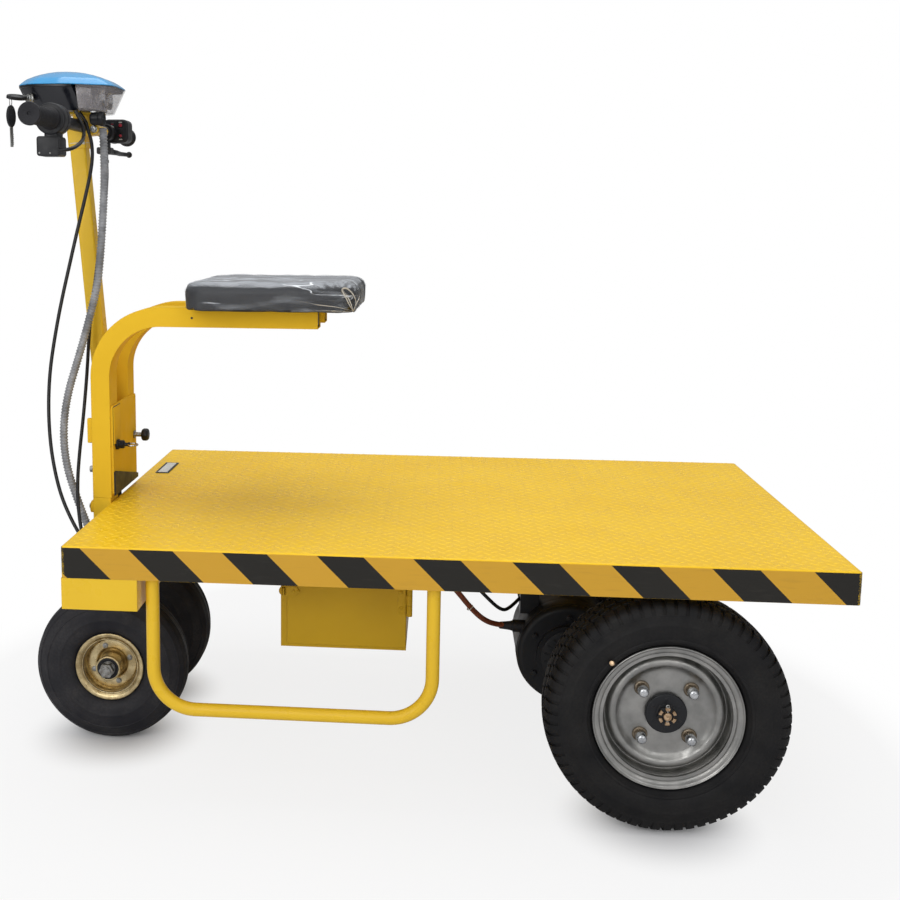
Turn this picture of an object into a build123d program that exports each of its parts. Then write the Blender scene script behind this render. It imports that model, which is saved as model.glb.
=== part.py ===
from build123d import *
import os
from math import cos, pi, radians, sin, tan
from typing import NamedTuple

# Electric platform cart, in millimetres. +X points ahead, towards the driven
# wheels and the headlight, +Y to the left and +Z up. The origin lies on the
# ground under the middle of the whole cart.

# Load deck: one folded sheet with a skirt all round
DECK_LENGTH = 1250.0
DECK_WIDTH = 800.0
DECK_TOP = 450.0
DECK_SKIRT = 53.0
DECK_SHEET = 3.0
DECK_CORNER_R = 6.0
DECK_FOLD_R = 4.0
CONSOLE_OVERHANG = 175.0  # how far the console reaches past the deck's steering end

# Ladder frame of square tube under the deck
FRAME_TUBE_W = 30.0
FRAME_WALL = 3.0
RAIL_Y = 230.0
FRAME_GAP = 1.2  # between the tubes' ends and the skirt

# Box-shaped cross-member that carries the steering head
CROSSMEMBER_LENGTH = 125.0
CROSSMEMBER_HEIGHT = 52.0
CROSSMEMBER_WALL = 4.0

# Foot rails of round tube
FOOT_RAIL_DIA = 22.0
FOOT_RAIL_WALL = 2.0
FOOT_RAIL_Y = 370.0
FOOT_RAIL_Z = 170.0
FOOT_RAIL_BEND_R = 70.0
FOOT_RAIL_REAR_X = -394.5
FOOT_RAIL_FRONT_X = 64.0

# Battery box under the deck, with a hinged door on the right-hand side
BOX_LENGTH = 217.0
BOX_FRONT_X = 17.5
BOX_BOTTOM = 239.0
BOX_SIDE_Y = 250.0
BOX_SHEET = 2.5
BOX_STILE = 14.0
BATTERY_LENGTH = 196.0
BATTERY_WIDTH = 440.0
BATTERY_HEIGHT = 128.0
DOOR_SHEET = 3.0
DOOR_GAP = 0.3
DOOR_HEIGHT = 148.0
DOOR_LAP = 6.0  # the box shows this far below the door
DOOR_REAR_INSET = 11.5
HINGE_Z = 330.0
HINGE_HEIGHT = 56.0
HINGE_BARREL_R = 5.0
HINGE_LEAF = 2.0
HINGE_PIN_DIA = 5.0
HINGE_CLEARANCE = 0.05
KNUCKLE_GAP = 0.5
HASP_Z = 340.0
HASP_WIDTH = 17.0
HASP_LENGTH = 34.0
HASP_SLOT = 6.0
STAPLE_THICKNESS = 3.0

# Steering: a kingpin in a head tube, leaning back a little
STEER_X = -561.5  # where the axis crosses the deck's height
STEER_TILT = 4.5
KINGPIN_DIA = 30.0
KINGPIN_TOP = 455.0
BEARING_CLEARANCE = 0.05
HEAD_TUBE_DIA = 50.0
HEAD_TUBE_TOP = 393.0
HEAD_TUBE_BOTTOM = 300.0
THRUST_COLLAR = 8.0
COLUMN_SIZE = 30.0
COLUMN_WALL = 2.5
COLUMN_CORNER_R = 4.0
COLUMN_TOP = 1100.0
SPIGOT_LENGTH = 60.0
FIT_GAP = 0.1

# Steered wheels, close together on one axle
STEER_TYRE_DIA = 286.0
STEER_TYRE_WIDTH = 85.0
STEER_TRACK = 210.0
STEER_AXLE_DIA = 17.0
STEER_AXLE_BOSS_DIA = 44.0
STEER_AXLE_BOSS_LENGTH = 110.0
STEER_HUB_LENGTH = 84.0
STEER_HUB_DIA = 47.0
STEER_RIM_DIA = 130.0
STEER_BEAD_DIA = 101.6
STEER_RIM_WIDTH = 62.0
STEER_DISC_FACE = 12.0
STEER_DISC_OUTER_DIA = 94.0
STEER_BOLT_CIRCLE = 72.0
STEER_NUT_AF = 24.0

# Driven wheels, on a beam axle
DRIVE_X = 437.5
DRIVE_TYRE_DIA = 390.0
DRIVE_TYRE_WIDTH = 105.0
DRIVE_TRACK = 680.0
DRIVE_RIM_DIA = 238.0
DRIVE_BEAD_DIA = 203.2
DRIVE_RIM_WIDTH = 82.0
RIM_SHEET = 4.0
DRIVE_DISC_FACE = 15.0  # outboard face of the flat centre from the wheel's middle
DRIVE_DISC_FLAT_DIA = 144.0
DRIVE_DISC_DIA = 192.0
DRIVE_DISC_ROLL = 9.0
DRIVE_HUB_DIA = 66.0
DRIVE_HUB_PROUD = 9.0
STUD_CIRCLE = 110.0
STUD_COUNT = 4
LUG_NUT_DIA = 19.0
LUG_NUT_LENGTH = 25.0
DRUM_DIA = 164.0
DRUM_WIDTH = 38.0
HALF_SHAFT_DIA = 30.0
HALF_SHAFT_LENGTH = 90.0
SHAFT_END_DIA = 15.0
AXLE_TUBE_DIA = 52.0
BACKPLATE_DIA = 172.0
BACKPLATE_THICKNESS = 7.0
BACKPLATE_GAP = 0.5
TYRE_SEAT_GAP = 0.3

# Gearcase and motor beside the axle
MOTOR_X = 309.0
MOTOR_Z = 190.0
MOTOR_DIA = 184.0
MOTOR_LENGTH = 150.0
MOTOR_FACE_Y = 40.0  # the mounting face on the gearcase
GEARCASE_WIDTH = 84.0
GEARCASE_AXLE_R = 76.0
GEARCASE_MOTOR_R = 62.0
HANGER_WIDTH = 44.0
HANGER_TOP_LENGTH = 150.0
HANGER_BAND = 9.0
GLAND_DIA = 22.0
GLAND_LENGTH = 26.0
GLAND_RISE = 42.0
GLAND_PROUD = 8.0

# Swivelling seat on two bent box tubes that straddle the column
MAST_BACK_X = -570.5
MAST_DEPTH = 35.0
MAST_WALL = 2.5
MAST_BOTTOM = 458.0
MAST_ARM_TOP = 813.0
MAST_ARM_END_X = -152.5
MAST_BEND_R = 130.0  # on the outside of the bend
SEAT_PIVOT_X = -553.0
SEAT_PIVOT_Y = -80.0
SEAT_SPIGOT_DIA = 29.9
SEAT_SPIGOT_LENGTH = 80.0
WEB_THICKNESS = 4.0
WEB_HEIGHT = 168.0
CUSHION_SIZE = 315.0
CUSHION_THICKNESS = 49.0
CUSHION_X = -228.5
CUSHION_Y = -20.0
CUSHION_CORNER_R = 38.0
CUSHION_EDGE_R = 14.0
BOARD_SIZE = 280.0
BOARD_THICKNESS = 6.0
SOFT_GAP = 0.3
KNOB_DIA = 25.0
PLUNGER_DIA = 17.0

# Handlebar and console
BAR_X = -602.5
BAR_Z = 1140.0
BAR_DIA = 22.0
BAR_LENGTH = 600.0
BAR_WALL = 2.0
GRIP_DIA = 32.0
GRIP_END_DIA = 38.0
GRIP_LENGTH = 103.0
GRIP_CAP = 3.0
CLAMP_SIZE = 34.0
CLAMP_BOSS_DIA = 17.0
CLAMP_BOSS_X = -575.5
CLAMP_BOSS_Z = 1134.0
THROTTLE_DIA = 54.0
THROTTLE_WIDTH = 38.0
CONSOLE_BOTTOM = 1165.0
CONSOLE_SEAM = 1210.0
CONSOLE_TOP = 1238.0
CONSOLE_WIDTH = 176.0
CONSOLE_LENGTH = 180.0
LENS_LENGTH = 62.0
LENS_WALL = 2.0
HORN_DIA = 26.0
SEAM_GAP = 0.3

# Wiring
CONDUIT_DIA = 14.0
CABLE_DIA = 6.5
MOTOR_LEAD_DIA = 10.0
ENTRY_THICKNESS = 5.0

# Places that follow from the sizes above
deck_mid_x = CONSOLE_OVERHANG / 2
deck_rear_x = deck_mid_x - DECK_LENGTH / 2
deck_front_x = deck_mid_x + DECK_LENGTH / 2
deck_under = DECK_TOP - DECK_SHEET
skirt_bottom = DECK_TOP - DECK_SKIRT
console_rear_x = deck_rear_x - CONSOLE_OVERHANG
steer_axle_z = STEER_TYRE_DIA / 2
drive_axle_z = DRIVE_TYRE_DIA / 2
tilt = radians(STEER_TILT)


def axis_x(z: float) -> float:
    """Give the X of the steering axis at one height."""
    return STEER_X - (z - DECK_TOP) * tan(tilt)


def along(z: float) -> float:
    """Give the distance up the steering axis from the deck's height."""
    return (z - DECK_TOP) / cos(tilt)


def wheel_plane(x: float, y: float, z: float, sign: int) -> Plane:
    """Give a plane with the radius as its X and the outboard way as its Y."""
    return Plane(origin=(x, sign * y, z), x_dir=(1, 0, 0), z_dir=(0, 0, sign))


def outboard_plane(x: float, y: float, z: float, sign: int) -> Plane:
    """Give a plane that faces outboard."""
    return Plane(origin=(x, sign * y, z), x_dir=(-sign, 0, 0), z_dir=(0, sign, 0))


def keep(piece: BuildPart, name: str) -> None:
    """Label a finished piece and write its STEP file."""
    piece.part.label = name
    export_step(piece.part, f"parts/{name}.step")


os.makedirs("parts", exist_ok=True)

steer_plane = Plane(
    origin=(STEER_X, 0, DECK_TOP), x_dir=(cos(tilt), 0, sin(tilt)), z_dir=(-sin(tilt), 0, cos(tilt))
)

# Folded deck sheet
with BuildPart() as deck_plate:
    with BuildSketch(Plane.XY.offset(DECK_TOP)):
        with Locations((deck_mid_x, 0)):
            Rectangle(DECK_LENGTH, DECK_WIDTH)
    extrude(amount=-DECK_SKIRT)
    fillet(deck_plate.edges().filter_by(Axis.Z), DECK_CORNER_R)
    fillet(deck_plate.faces().sort_by(Axis.Z)[-1].edges(), DECK_FOLD_R)
    offset(amount=-DECK_SHEET, openings=deck_plate.faces().sort_by(Axis.Z)[0])
keep(deck_plate, "deck_plate")

# Ladder frame: two rails and five cross tubes, open inside from end to end
frame_rear_x = deck_rear_x + DECK_SHEET + FRAME_GAP
frame_front_x = deck_front_x - DECK_SHEET - FRAME_GAP
frame_half_y = DECK_WIDTH / 2 - DECK_SHEET - FRAME_GAP
frame_length = frame_front_x - frame_rear_x
frame_mid_x = (frame_rear_x + frame_front_x) / 2
frame_height = deck_under - skirt_bottom
cross_tubes = [
    frame_rear_x + FRAME_TUBE_W / 2,
    FOOT_RAIL_REAR_X,
    FOOT_RAIL_FRONT_X,
    DRIVE_X,
    frame_front_x - FRAME_TUBE_W / 2,
]
with BuildPart() as deck_frame:
    with BuildSketch(Plane.XY.offset(skirt_bottom)):
        with Locations((frame_mid_x, RAIL_Y), (frame_mid_x, -RAIL_Y)):
            Rectangle(frame_length, FRAME_TUBE_W)
        with Locations(*[(x, 0) for x in cross_tubes]):
            Rectangle(FRAME_TUBE_W, 2 * frame_half_y)
    extrude(amount=frame_height)
    with BuildSketch(Plane.XY.offset(skirt_bottom + FRAME_WALL)):
        with Locations((frame_mid_x, RAIL_Y), (frame_mid_x, -RAIL_Y)):
            Rectangle(frame_length, FRAME_TUBE_W - 2 * FRAME_WALL)
        with Locations(*[(x, 0) for x in cross_tubes]):
            Rectangle(FRAME_TUBE_W - 2 * FRAME_WALL, 2 * frame_half_y)
    extrude(amount=frame_height - 2 * FRAME_WALL, mode=Mode.SUBTRACT)
keep(deck_frame, "deck_frame")

# Steering cross-member: a trough with closed ends, coped for the head tube
crossmember_bottom = skirt_bottom - CROSSMEMBER_HEIGHT
with BuildPart() as steer_crossmember:
    with BuildSketch(Plane.XY.offset(crossmember_bottom)):
        with Locations((deck_rear_x + CROSSMEMBER_LENGTH / 2, 0)):
            Rectangle(CROSSMEMBER_LENGTH, DECK_WIDTH)
    extrude(amount=CROSSMEMBER_HEIGHT)
    offset(
        amount=-CROSSMEMBER_WALL,
        openings=steer_crossmember.faces().sort_by(Axis.Z)[-1],
        kind=Kind.INTERSECTION,
    )
    with BuildSketch(steer_plane.offset(along(crossmember_bottom - 20))):
        Circle(HEAD_TUBE_DIA / 2 + FIT_GAP)
    extrude(amount=CROSSMEMBER_HEIGHT + 40, mode=Mode.SUBTRACT)
keep(steer_crossmember, "steer_crossmember")

# Head tube with a flange at each end
with BuildPart() as steering_head:
    with BuildSketch(steer_plane.offset(along(HEAD_TUBE_BOTTOM))):
        Circle(HEAD_TUBE_DIA / 2)
        Circle(KINGPIN_DIA / 2 + BEARING_CLEARANCE, mode=Mode.SUBTRACT)
    extrude(amount=along(HEAD_TUBE_TOP) - along(HEAD_TUBE_BOTTOM))
keep(steering_head, "steering_head")


# Foot rails
class FootRail(NamedTuple):
    """One foot rail: its name and the side that it is on."""

    name: str
    sign: int


for rail in (FootRail("foot_rail_right", -1), FootRail("foot_rail_left", 1)):
    rail_y = rail.sign * FOOT_RAIL_Y
    with BuildPart() as foot_rail:
        with BuildLine() as rail_path:
            FilletPolyline(
                (FOOT_RAIL_REAR_X, rail_y, skirt_bottom),
                (FOOT_RAIL_REAR_X, rail_y, FOOT_RAIL_Z),
                (FOOT_RAIL_FRONT_X, rail_y, FOOT_RAIL_Z),
                (FOOT_RAIL_FRONT_X, rail_y, skirt_bottom),
                radius=FOOT_RAIL_BEND_R,
            )
        with BuildSketch(Plane(origin=rail_path.line @ 0, z_dir=rail_path.line % 0)):
            Circle(FOOT_RAIL_DIA / 2)
            Circle(FOOT_RAIL_DIA / 2 - FOOT_RAIL_WALL, mode=Mode.SUBTRACT)
        sweep(path=rail_path.line)
    keep(foot_rail, rail.name)

# Battery box, open to the right, with a front frame, hinge knuckles and a staple
box_rear_x = BOX_FRONT_X - BOX_LENGTH
box_mid_x = BOX_FRONT_X - BOX_LENGTH / 2
box_height = skirt_bottom - BOX_BOTTOM
box_rim_y = -(BOX_SIDE_Y - DOOR_SHEET - DOOR_GAP)
hinge_x = BOX_FRONT_X + HINGE_BARREL_R
hinge_y = -BOX_SIDE_Y
hinge_bottom = HINGE_Z - HINGE_HEIGHT / 2
knuckle = (HINGE_HEIGHT - 2 * KNUCKLE_GAP) / 3
staple_x = box_rear_x + DOOR_REAR_INSET / 2
with BuildPart() as battery_box:
    with BuildSketch(Plane.XY.offset(BOX_BOTTOM)):
        with Locations((box_mid_x, (BOX_SIDE_Y + box_rim_y) / 2)):
            Rectangle(BOX_LENGTH, BOX_SIDE_Y - box_rim_y)
    extrude(amount=box_height)
    offset(
        amount=-BOX_SHEET, openings=battery_box.faces().sort_by(Axis.Y)[0], kind=Kind.INTERSECTION
    )
    with BuildSketch(Plane.XZ.offset(-box_rim_y)):
        with Locations((box_mid_x, BOX_BOTTOM + box_height / 2)):
            Rectangle(BOX_LENGTH, box_height)
            Rectangle(BOX_LENGTH - 2 * BOX_STILE, box_height - 2 * BOX_STILE, mode=Mode.SUBTRACT)
    extrude(amount=-BOX_SHEET)
    for low in (hinge_bottom, hinge_bottom + 2 * (knuckle + KNUCKLE_GAP)):
        with BuildSketch(Plane.XY.offset(low)):
            with Locations((hinge_x, hinge_y)):
                Circle(HINGE_BARREL_R)
            with Locations((BOX_FRONT_X + HINGE_LEAF / 2, hinge_y + 12)):
                Rectangle(HINGE_LEAF, 24)
        extrude(amount=knuckle)
    with BuildSketch(Plane.XY.offset(hinge_bottom)):
        with Locations((hinge_x, hinge_y)):
            Circle(HINGE_PIN_DIA / 2 + HINGE_CLEARANCE)
    extrude(amount=HINGE_HEIGHT, mode=Mode.SUBTRACT)
    with BuildSketch(Plane.XZ.offset(-box_rim_y)):
        with Locations((staple_x, HASP_Z)):
            Rectangle(STAPLE_THICKNESS, HASP_WIDTH - HASP_SLOT)
    extrude(amount=DOOR_GAP + 3 * DOOR_SHEET + 2)
keep(battery_box, "battery_box")

# Battery pack, a closed block that stands on the box's floor
with BuildPart() as battery_pack:
    with BuildSketch(Plane.XY.offset(BOX_BOTTOM + BOX_SHEET)):
        with Locations((box_mid_x, BOX_SIDE_Y - BOX_SHEET - 10 - BATTERY_WIDTH / 2)):
            RectangleRounded(BATTERY_LENGTH, BATTERY_WIDTH, 6)
    extrude(amount=BATTERY_HEIGHT)
keep(battery_pack, "battery_pack")

# Battery door with its knuckle and a slotted hasp strap
door_rear_x = box_rear_x + DOOR_REAR_INSET
door_front_x = BOX_FRONT_X - 2 * KNUCKLE_GAP
door_bottom = BOX_BOTTOM + DOOR_LAP
door_inner_y = -(BOX_SIDE_Y - DOOR_SHEET)
with BuildPart() as battery_door:
    with BuildSketch(Plane.XY.offset(door_bottom)):
        with Locations(((door_rear_x + door_front_x) / 2, door_inner_y - DOOR_SHEET / 2)):
            Rectangle(door_front_x - door_rear_x, DOOR_SHEET)
    extrude(amount=DOOR_HEIGHT)
    with BuildSketch(Plane.XY.offset(hinge_bottom + knuckle + KNUCKLE_GAP)):
        with Locations((hinge_x, hinge_y)):
            Circle(HINGE_BARREL_R)
        with Locations((hinge_x - 8, door_inner_y - DOOR_SHEET / 2)):
            Rectangle(16, DOOR_SHEET)
        with Locations((hinge_x, hinge_y)):
            Circle(HINGE_PIN_DIA / 2 + HINGE_CLEARANCE, mode=Mode.SUBTRACT)
    extrude(amount=knuckle)
    with BuildSketch(Plane(origin=(staple_x, -BOX_SIDE_Y, HASP_Z), x_dir=(1, 0, 0), z_dir=(0, -1, 0))):
        with Locations(((HASP_LENGTH - HASP_WIDTH) / 2, 0)):
            SlotCenterToCenter(HASP_LENGTH - HASP_WIDTH, HASP_WIDTH)
        Rectangle(HASP_SLOT, HASP_WIDTH - HASP_SLOT / 2, mode=Mode.SUBTRACT)
    extrude(amount=DOOR_SHEET)
keep(battery_door, "battery_door")

with BuildPart() as hinge_pin:
    with BuildSketch(Plane.XY.offset(hinge_bottom)):
        with Locations((hinge_x, hinge_y)):
            Circle(HINGE_PIN_DIA / 2)
    extrude(amount=HINGE_HEIGHT)
    with BuildSketch(Plane.XY.offset(hinge_bottom + HINGE_HEIGHT)):
        with Locations((hinge_x, hinge_y)):
            Circle(HINGE_BARREL_R - 1)
    extrude(amount=1.5)
keep(hinge_pin, "hinge_pin")

# Kingpin with its thrust collar, the axle boss and the axle
steer_axle_x = axis_x(steer_axle_z)
steer_axle_end = STEER_TRACK / 2 + STEER_HUB_LENGTH / 2 + 16
with BuildPart() as steering_stem:
    with BuildSketch(steer_plane.offset(along(steer_axle_z))):
        Circle(KINGPIN_DIA / 2)
    extrude(amount=along(KINGPIN_TOP) - along(steer_axle_z))
    with BuildSketch(steer_plane.offset(along(KINGPIN_TOP))):
        Circle(COLUMN_SIZE / 2 - COLUMN_WALL - FIT_GAP)
    extrude(amount=SPIGOT_LENGTH)
    with BuildSketch(steer_plane.offset(along(HEAD_TUBE_BOTTOM) - SOFT_GAP)):
        Circle(HEAD_TUBE_DIA / 2)
    extrude(amount=-THRUST_COLLAR)
    with BuildSketch(Plane(origin=(steer_axle_x, 0, steer_axle_z), z_dir=(0, 1, 0))):
        Circle(STEER_AXLE_BOSS_DIA / 2)
    extrude(amount=STEER_AXLE_BOSS_LENGTH / 2, both=True)
    with BuildSketch(Plane(origin=(steer_axle_x, 0, steer_axle_z), z_dir=(0, 1, 0))):
        Circle(STEER_AXLE_DIA / 2)
    extrude(amount=steer_axle_end, both=True)
    for sign in (-1, 1):
        with BuildSketch(
            outboard_plane(steer_axle_x, STEER_TRACK / 2 + STEER_HUB_LENGTH / 2 + 0.3, steer_axle_z, sign)
        ):
            Circle(STEER_NUT_AF / 2 + 1.5)
        extrude(amount=2.5)
        with BuildSketch(
            outboard_plane(steer_axle_x, STEER_TRACK / 2 + STEER_HUB_LENGTH / 2 + 2.8, steer_axle_z, sign)
        ):
            RegularPolygon(STEER_NUT_AF / 2, 6, major_radius=False)
        extrude(amount=10)
keep(steering_stem, "steering_stem")

# Column: square tube on the kingpin's shoulder
with BuildPart() as steering_column:
    with BuildSketch(steer_plane.offset(along(KINGPIN_TOP))):
        RectangleRounded(COLUMN_SIZE, COLUMN_SIZE, COLUMN_CORNER_R)
        RectangleRounded(
            COLUMN_SIZE - 2 * COLUMN_WALL,
            COLUMN_SIZE - 2 * COLUMN_WALL,
            COLUMN_CORNER_R - COLUMN_WALL,
            mode=Mode.SUBTRACT,
        )
    extrude(amount=along(COLUMN_TOP) - along(KINGPIN_TOP))
keep(steering_column, "steering_column")


# Wheels
class WheelSide(NamedTuple):
    """One side of the cart: its name and the sign of its Y."""

    name: str
    sign: int


SIDES = (WheelSide("right", -1), WheelSide("left", 1))
steer_hub_half = STEER_HUB_LENGTH / 2
steer_rim_half = STEER_RIM_WIDTH / 2
steer_bead_r = STEER_BEAD_DIA / 2
steer_tyre_r = STEER_TYRE_DIA / 2
steer_tyre_half = STEER_TYRE_WIDTH / 2

for side in SIDES:
    wheel = wheel_plane(steer_axle_x, STEER_TRACK / 2, steer_axle_z, side.sign)
    spin = Axis((steer_axle_x, side.sign * STEER_TRACK / 2, steer_axle_z), (0, 1, 0))

    with BuildPart() as steer_tyre:
        with BuildSketch(wheel):
            with BuildLine():
                seat = steer_bead_r + TYRE_SEAT_GAP
                lip = steer_rim_half - RIM_SHEET / 2 - TYRE_SEAT_GAP
                rim_r = STEER_RIM_DIA / 2 + 1
                inner = Polyline((rim_r, -lip), (seat, -lip), (seat, lip), (rim_r, lip))
                wall_out = ThreePointArc(
                    inner @ 1,
                    (steer_tyre_r - 42, steer_tyre_half),
                    (steer_tyre_r - 12, steer_tyre_half - 12),
                )
                crown = ThreePointArc(
                    wall_out @ 1, (steer_tyre_r, 0), (steer_tyre_r - 12, -steer_tyre_half + 12)
                )
                ThreePointArc(crown @ 1, (steer_tyre_r - 42, -steer_tyre_half), inner @ 0)
            make_face()
        revolve(axis=spin)
    keep(steer_tyre, f"steer_tyre_{side.name}")

    with BuildPart() as steer_rim:
        with BuildSketch(wheel):
            disc_r = STEER_DISC_OUTER_DIA / 2
            hub_r = STEER_HUB_DIA / 2
            bore_r = STEER_AXLE_DIA / 2 + BEARING_CLEARANCE
            with BuildLine():
                Polyline(
                    (bore_r, -steer_hub_half),
                    (hub_r, -steer_hub_half),
                    (hub_r, STEER_DISC_FACE - 14),
                    (steer_bead_r - RIM_SHEET, STEER_DISC_FACE - 14),
                    (steer_bead_r - RIM_SHEET, -steer_rim_half + RIM_SHEET / 2),
                    (STEER_RIM_DIA / 2, -steer_rim_half - RIM_SHEET / 2),
                    (STEER_RIM_DIA / 2, -steer_rim_half + RIM_SHEET / 2),
                    (steer_bead_r, -steer_rim_half + RIM_SHEET / 2),
                    (steer_bead_r, steer_rim_half - RIM_SHEET / 2),
                    (STEER_RIM_DIA / 2, steer_rim_half - RIM_SHEET / 2),
                    (STEER_RIM_DIA / 2, steer_rim_half + RIM_SHEET / 2),
                    (steer_bead_r, steer_rim_half + RIM_SHEET / 2),
                    (steer_bead_r - RIM_SHEET, STEER_DISC_FACE - 4),
                    (disc_r, STEER_DISC_FACE),
                    (hub_r + 7, STEER_DISC_FACE),
                    (hub_r + 3, STEER_DISC_FACE - 6),
                    (hub_r, STEER_DISC_FACE - 6),
                    (hub_r, steer_hub_half),
                    (bore_r, steer_hub_half),
                    close=True,
                )
            make_face()
        revolve(axis=spin)
        with BuildSketch(outboard_plane(steer_axle_x, STEER_TRACK / 2 + STEER_DISC_FACE, steer_axle_z, side.sign)):
            with PolarLocations(STEER_BOLT_CIRCLE / 2, 4, start_angle=20):
                Circle(5)
        extrude(amount=4)
    keep(steer_rim, f"steer_rim_{side.name}")

drive_rim_half = DRIVE_RIM_WIDTH / 2
drive_bead_r = DRIVE_BEAD_DIA / 2
drive_tyre_r = DRIVE_TYRE_DIA / 2
drive_tyre_half = DRIVE_TYRE_WIDTH / 2
drum_out = DRIVE_DISC_FACE - RIM_SHEET

for side in SIDES:
    wheel = wheel_plane(DRIVE_X, DRIVE_TRACK / 2, drive_axle_z, side.sign)
    spin = Axis((DRIVE_X, side.sign * DRIVE_TRACK / 2, drive_axle_z), (0, 1, 0))

    with BuildPart() as drive_tyre:
        with BuildSketch(wheel):
            with BuildLine():
                seat = drive_bead_r + TYRE_SEAT_GAP
                lip = drive_rim_half - RIM_SHEET - TYRE_SEAT_GAP
                rim_r = DRIVE_RIM_DIA / 2 + 1
                inner = Polyline((rim_r, -lip), (seat, -lip), (seat, lip), (rim_r, lip))
                wall_out = ThreePointArc(
                    inner @ 1,
                    (drive_tyre_r - 42, drive_tyre_half),
                    (drive_tyre_r - 14, drive_tyre_half - 5),
                )
                shoulder = Line(wall_out @ 1, (drive_tyre_r - 4, drive_tyre_half - 15))
                crown = ThreePointArc(
                    shoulder @ 1, (drive_tyre_r, 0), (drive_tyre_r - 4, -drive_tyre_half + 15)
                )
                shoulder_in = Line(crown @ 1, (drive_tyre_r - 14, -drive_tyre_half + 5))
                ThreePointArc(shoulder_in @ 1, (drive_tyre_r - 42, -drive_tyre_half), inner @ 0)
            make_face()
        revolve(axis=spin)
    keep(drive_tyre, f"drive_tyre_{side.name}")

    with BuildPart() as drive_rim:
        with BuildSketch(wheel):
            flat_r = DRIVE_DISC_FLAT_DIA / 2
            disc_r = DRIVE_DISC_DIA / 2
            roll_r = (flat_r + disc_r) / 2
            face = DRIVE_DISC_FACE
            back = DRIVE_DISC_FACE - RIM_SHEET
            bore_r = DRIVE_HUB_DIA / 2 - 6
            barrel_r = drive_bead_r - RIM_SHEET
            with BuildLine():
                inboard = Polyline(
                    (bore_r, back),
                    (flat_r, back),
                    (roll_r, back + DRIVE_DISC_ROLL),
                    (disc_r - RIM_SHEET, back - 4),
                    (disc_r - RIM_SHEET, back - 16),
                    (barrel_r, back - 16),
                    (barrel_r, -drive_rim_half),
                    (DRIVE_RIM_DIA / 2 - 4, -drive_rim_half),
                )
                lip_in = Polyline(
                    inboard @ 1,
                    (DRIVE_RIM_DIA / 2, -drive_rim_half - 3),
                    (DRIVE_RIM_DIA / 2, -drive_rim_half + RIM_SHEET),
                    (drive_bead_r, -drive_rim_half + RIM_SHEET),
                    (drive_bead_r, drive_rim_half - RIM_SHEET),
                    (DRIVE_RIM_DIA / 2, drive_rim_half - RIM_SHEET),
                    (DRIVE_RIM_DIA / 2, drive_rim_half + 3),
                    (DRIVE_RIM_DIA / 2 - 4, drive_rim_half),
                )
                Polyline(
                    lip_in @ 1,
                    (drive_bead_r, drive_rim_half),
                    (barrel_r, drive_rim_half - 10),
                    (barrel_r, back - 10),
                    (disc_r, back - 10),
                    (disc_r, face - 6),
                    (roll_r + 5, face + DRIVE_DISC_ROLL),
                    (roll_r - 3, face + DRIVE_DISC_ROLL),
                    (flat_r, face),
                    (bore_r, face),
                    inboard @ 0,
                )
            make_face()
        revolve(axis=spin)
        with BuildSketch(outboard_plane(DRIVE_X, DRIVE_TRACK / 2 + back, drive_axle_z, side.sign)):
            with PolarLocations(STUD_CIRCLE / 2, STUD_COUNT, start_angle=45):
                Circle(LUG_NUT_DIA / 4 + FIT_GAP)
        extrude(amount=RIM_SHEET, mode=Mode.SUBTRACT)
    keep(drive_rim, f"drive_rim_{side.name}")

    with BuildPart() as drive_hub:
        with BuildSketch(wheel):
            with BuildLine():
                Polyline(
                    (0, drum_out - DRUM_WIDTH - HALF_SHAFT_LENGTH),
                    (HALF_SHAFT_DIA / 2, drum_out - DRUM_WIDTH - HALF_SHAFT_LENGTH),
                    (HALF_SHAFT_DIA / 2, drum_out - DRUM_WIDTH),
                    (DRUM_DIA / 2, drum_out - DRUM_WIDTH),
                    (DRUM_DIA / 2, drum_out - 8),
                    (DRIVE_DISC_FLAT_DIA / 2, drum_out),
                    (DRIVE_HUB_DIA / 2 - 6 - FIT_GAP, drum_out),
                    (DRIVE_HUB_DIA / 2 - 6 - FIT_GAP, DRIVE_DISC_FACE),
                    (DRIVE_HUB_DIA / 2, DRIVE_DISC_FACE),
                    (DRIVE_HUB_DIA / 2, DRIVE_DISC_FACE + DRIVE_HUB_PROUD),
                    (SHAFT_END_DIA / 2, DRIVE_DISC_FACE + DRIVE_HUB_PROUD),
                    (SHAFT_END_DIA / 2, DRIVE_DISC_FACE + DRIVE_HUB_PROUD + 16),
                    (0, DRIVE_DISC_FACE + DRIVE_HUB_PROUD + 16),
                    close=True,
                )
            make_face()
        revolve(axis=spin)
        with BuildSketch(outboard_plane(DRIVE_X, DRIVE_TRACK / 2 + drum_out, drive_axle_z, side.sign)):
            with PolarLocations(STUD_CIRCLE / 2, STUD_COUNT, start_angle=45):
                Circle(LUG_NUT_DIA / 4)
        extrude(amount=RIM_SHEET)
        with BuildSketch(outboard_plane(DRIVE_X, DRIVE_TRACK / 2 + DRIVE_DISC_FACE, drive_axle_z, side.sign)):
            with PolarLocations(STUD_CIRCLE / 2, STUD_COUNT, start_angle=45):
                Circle(LUG_NUT_DIA / 2)
        extrude(amount=LUG_NUT_LENGTH, taper=4)
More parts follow.
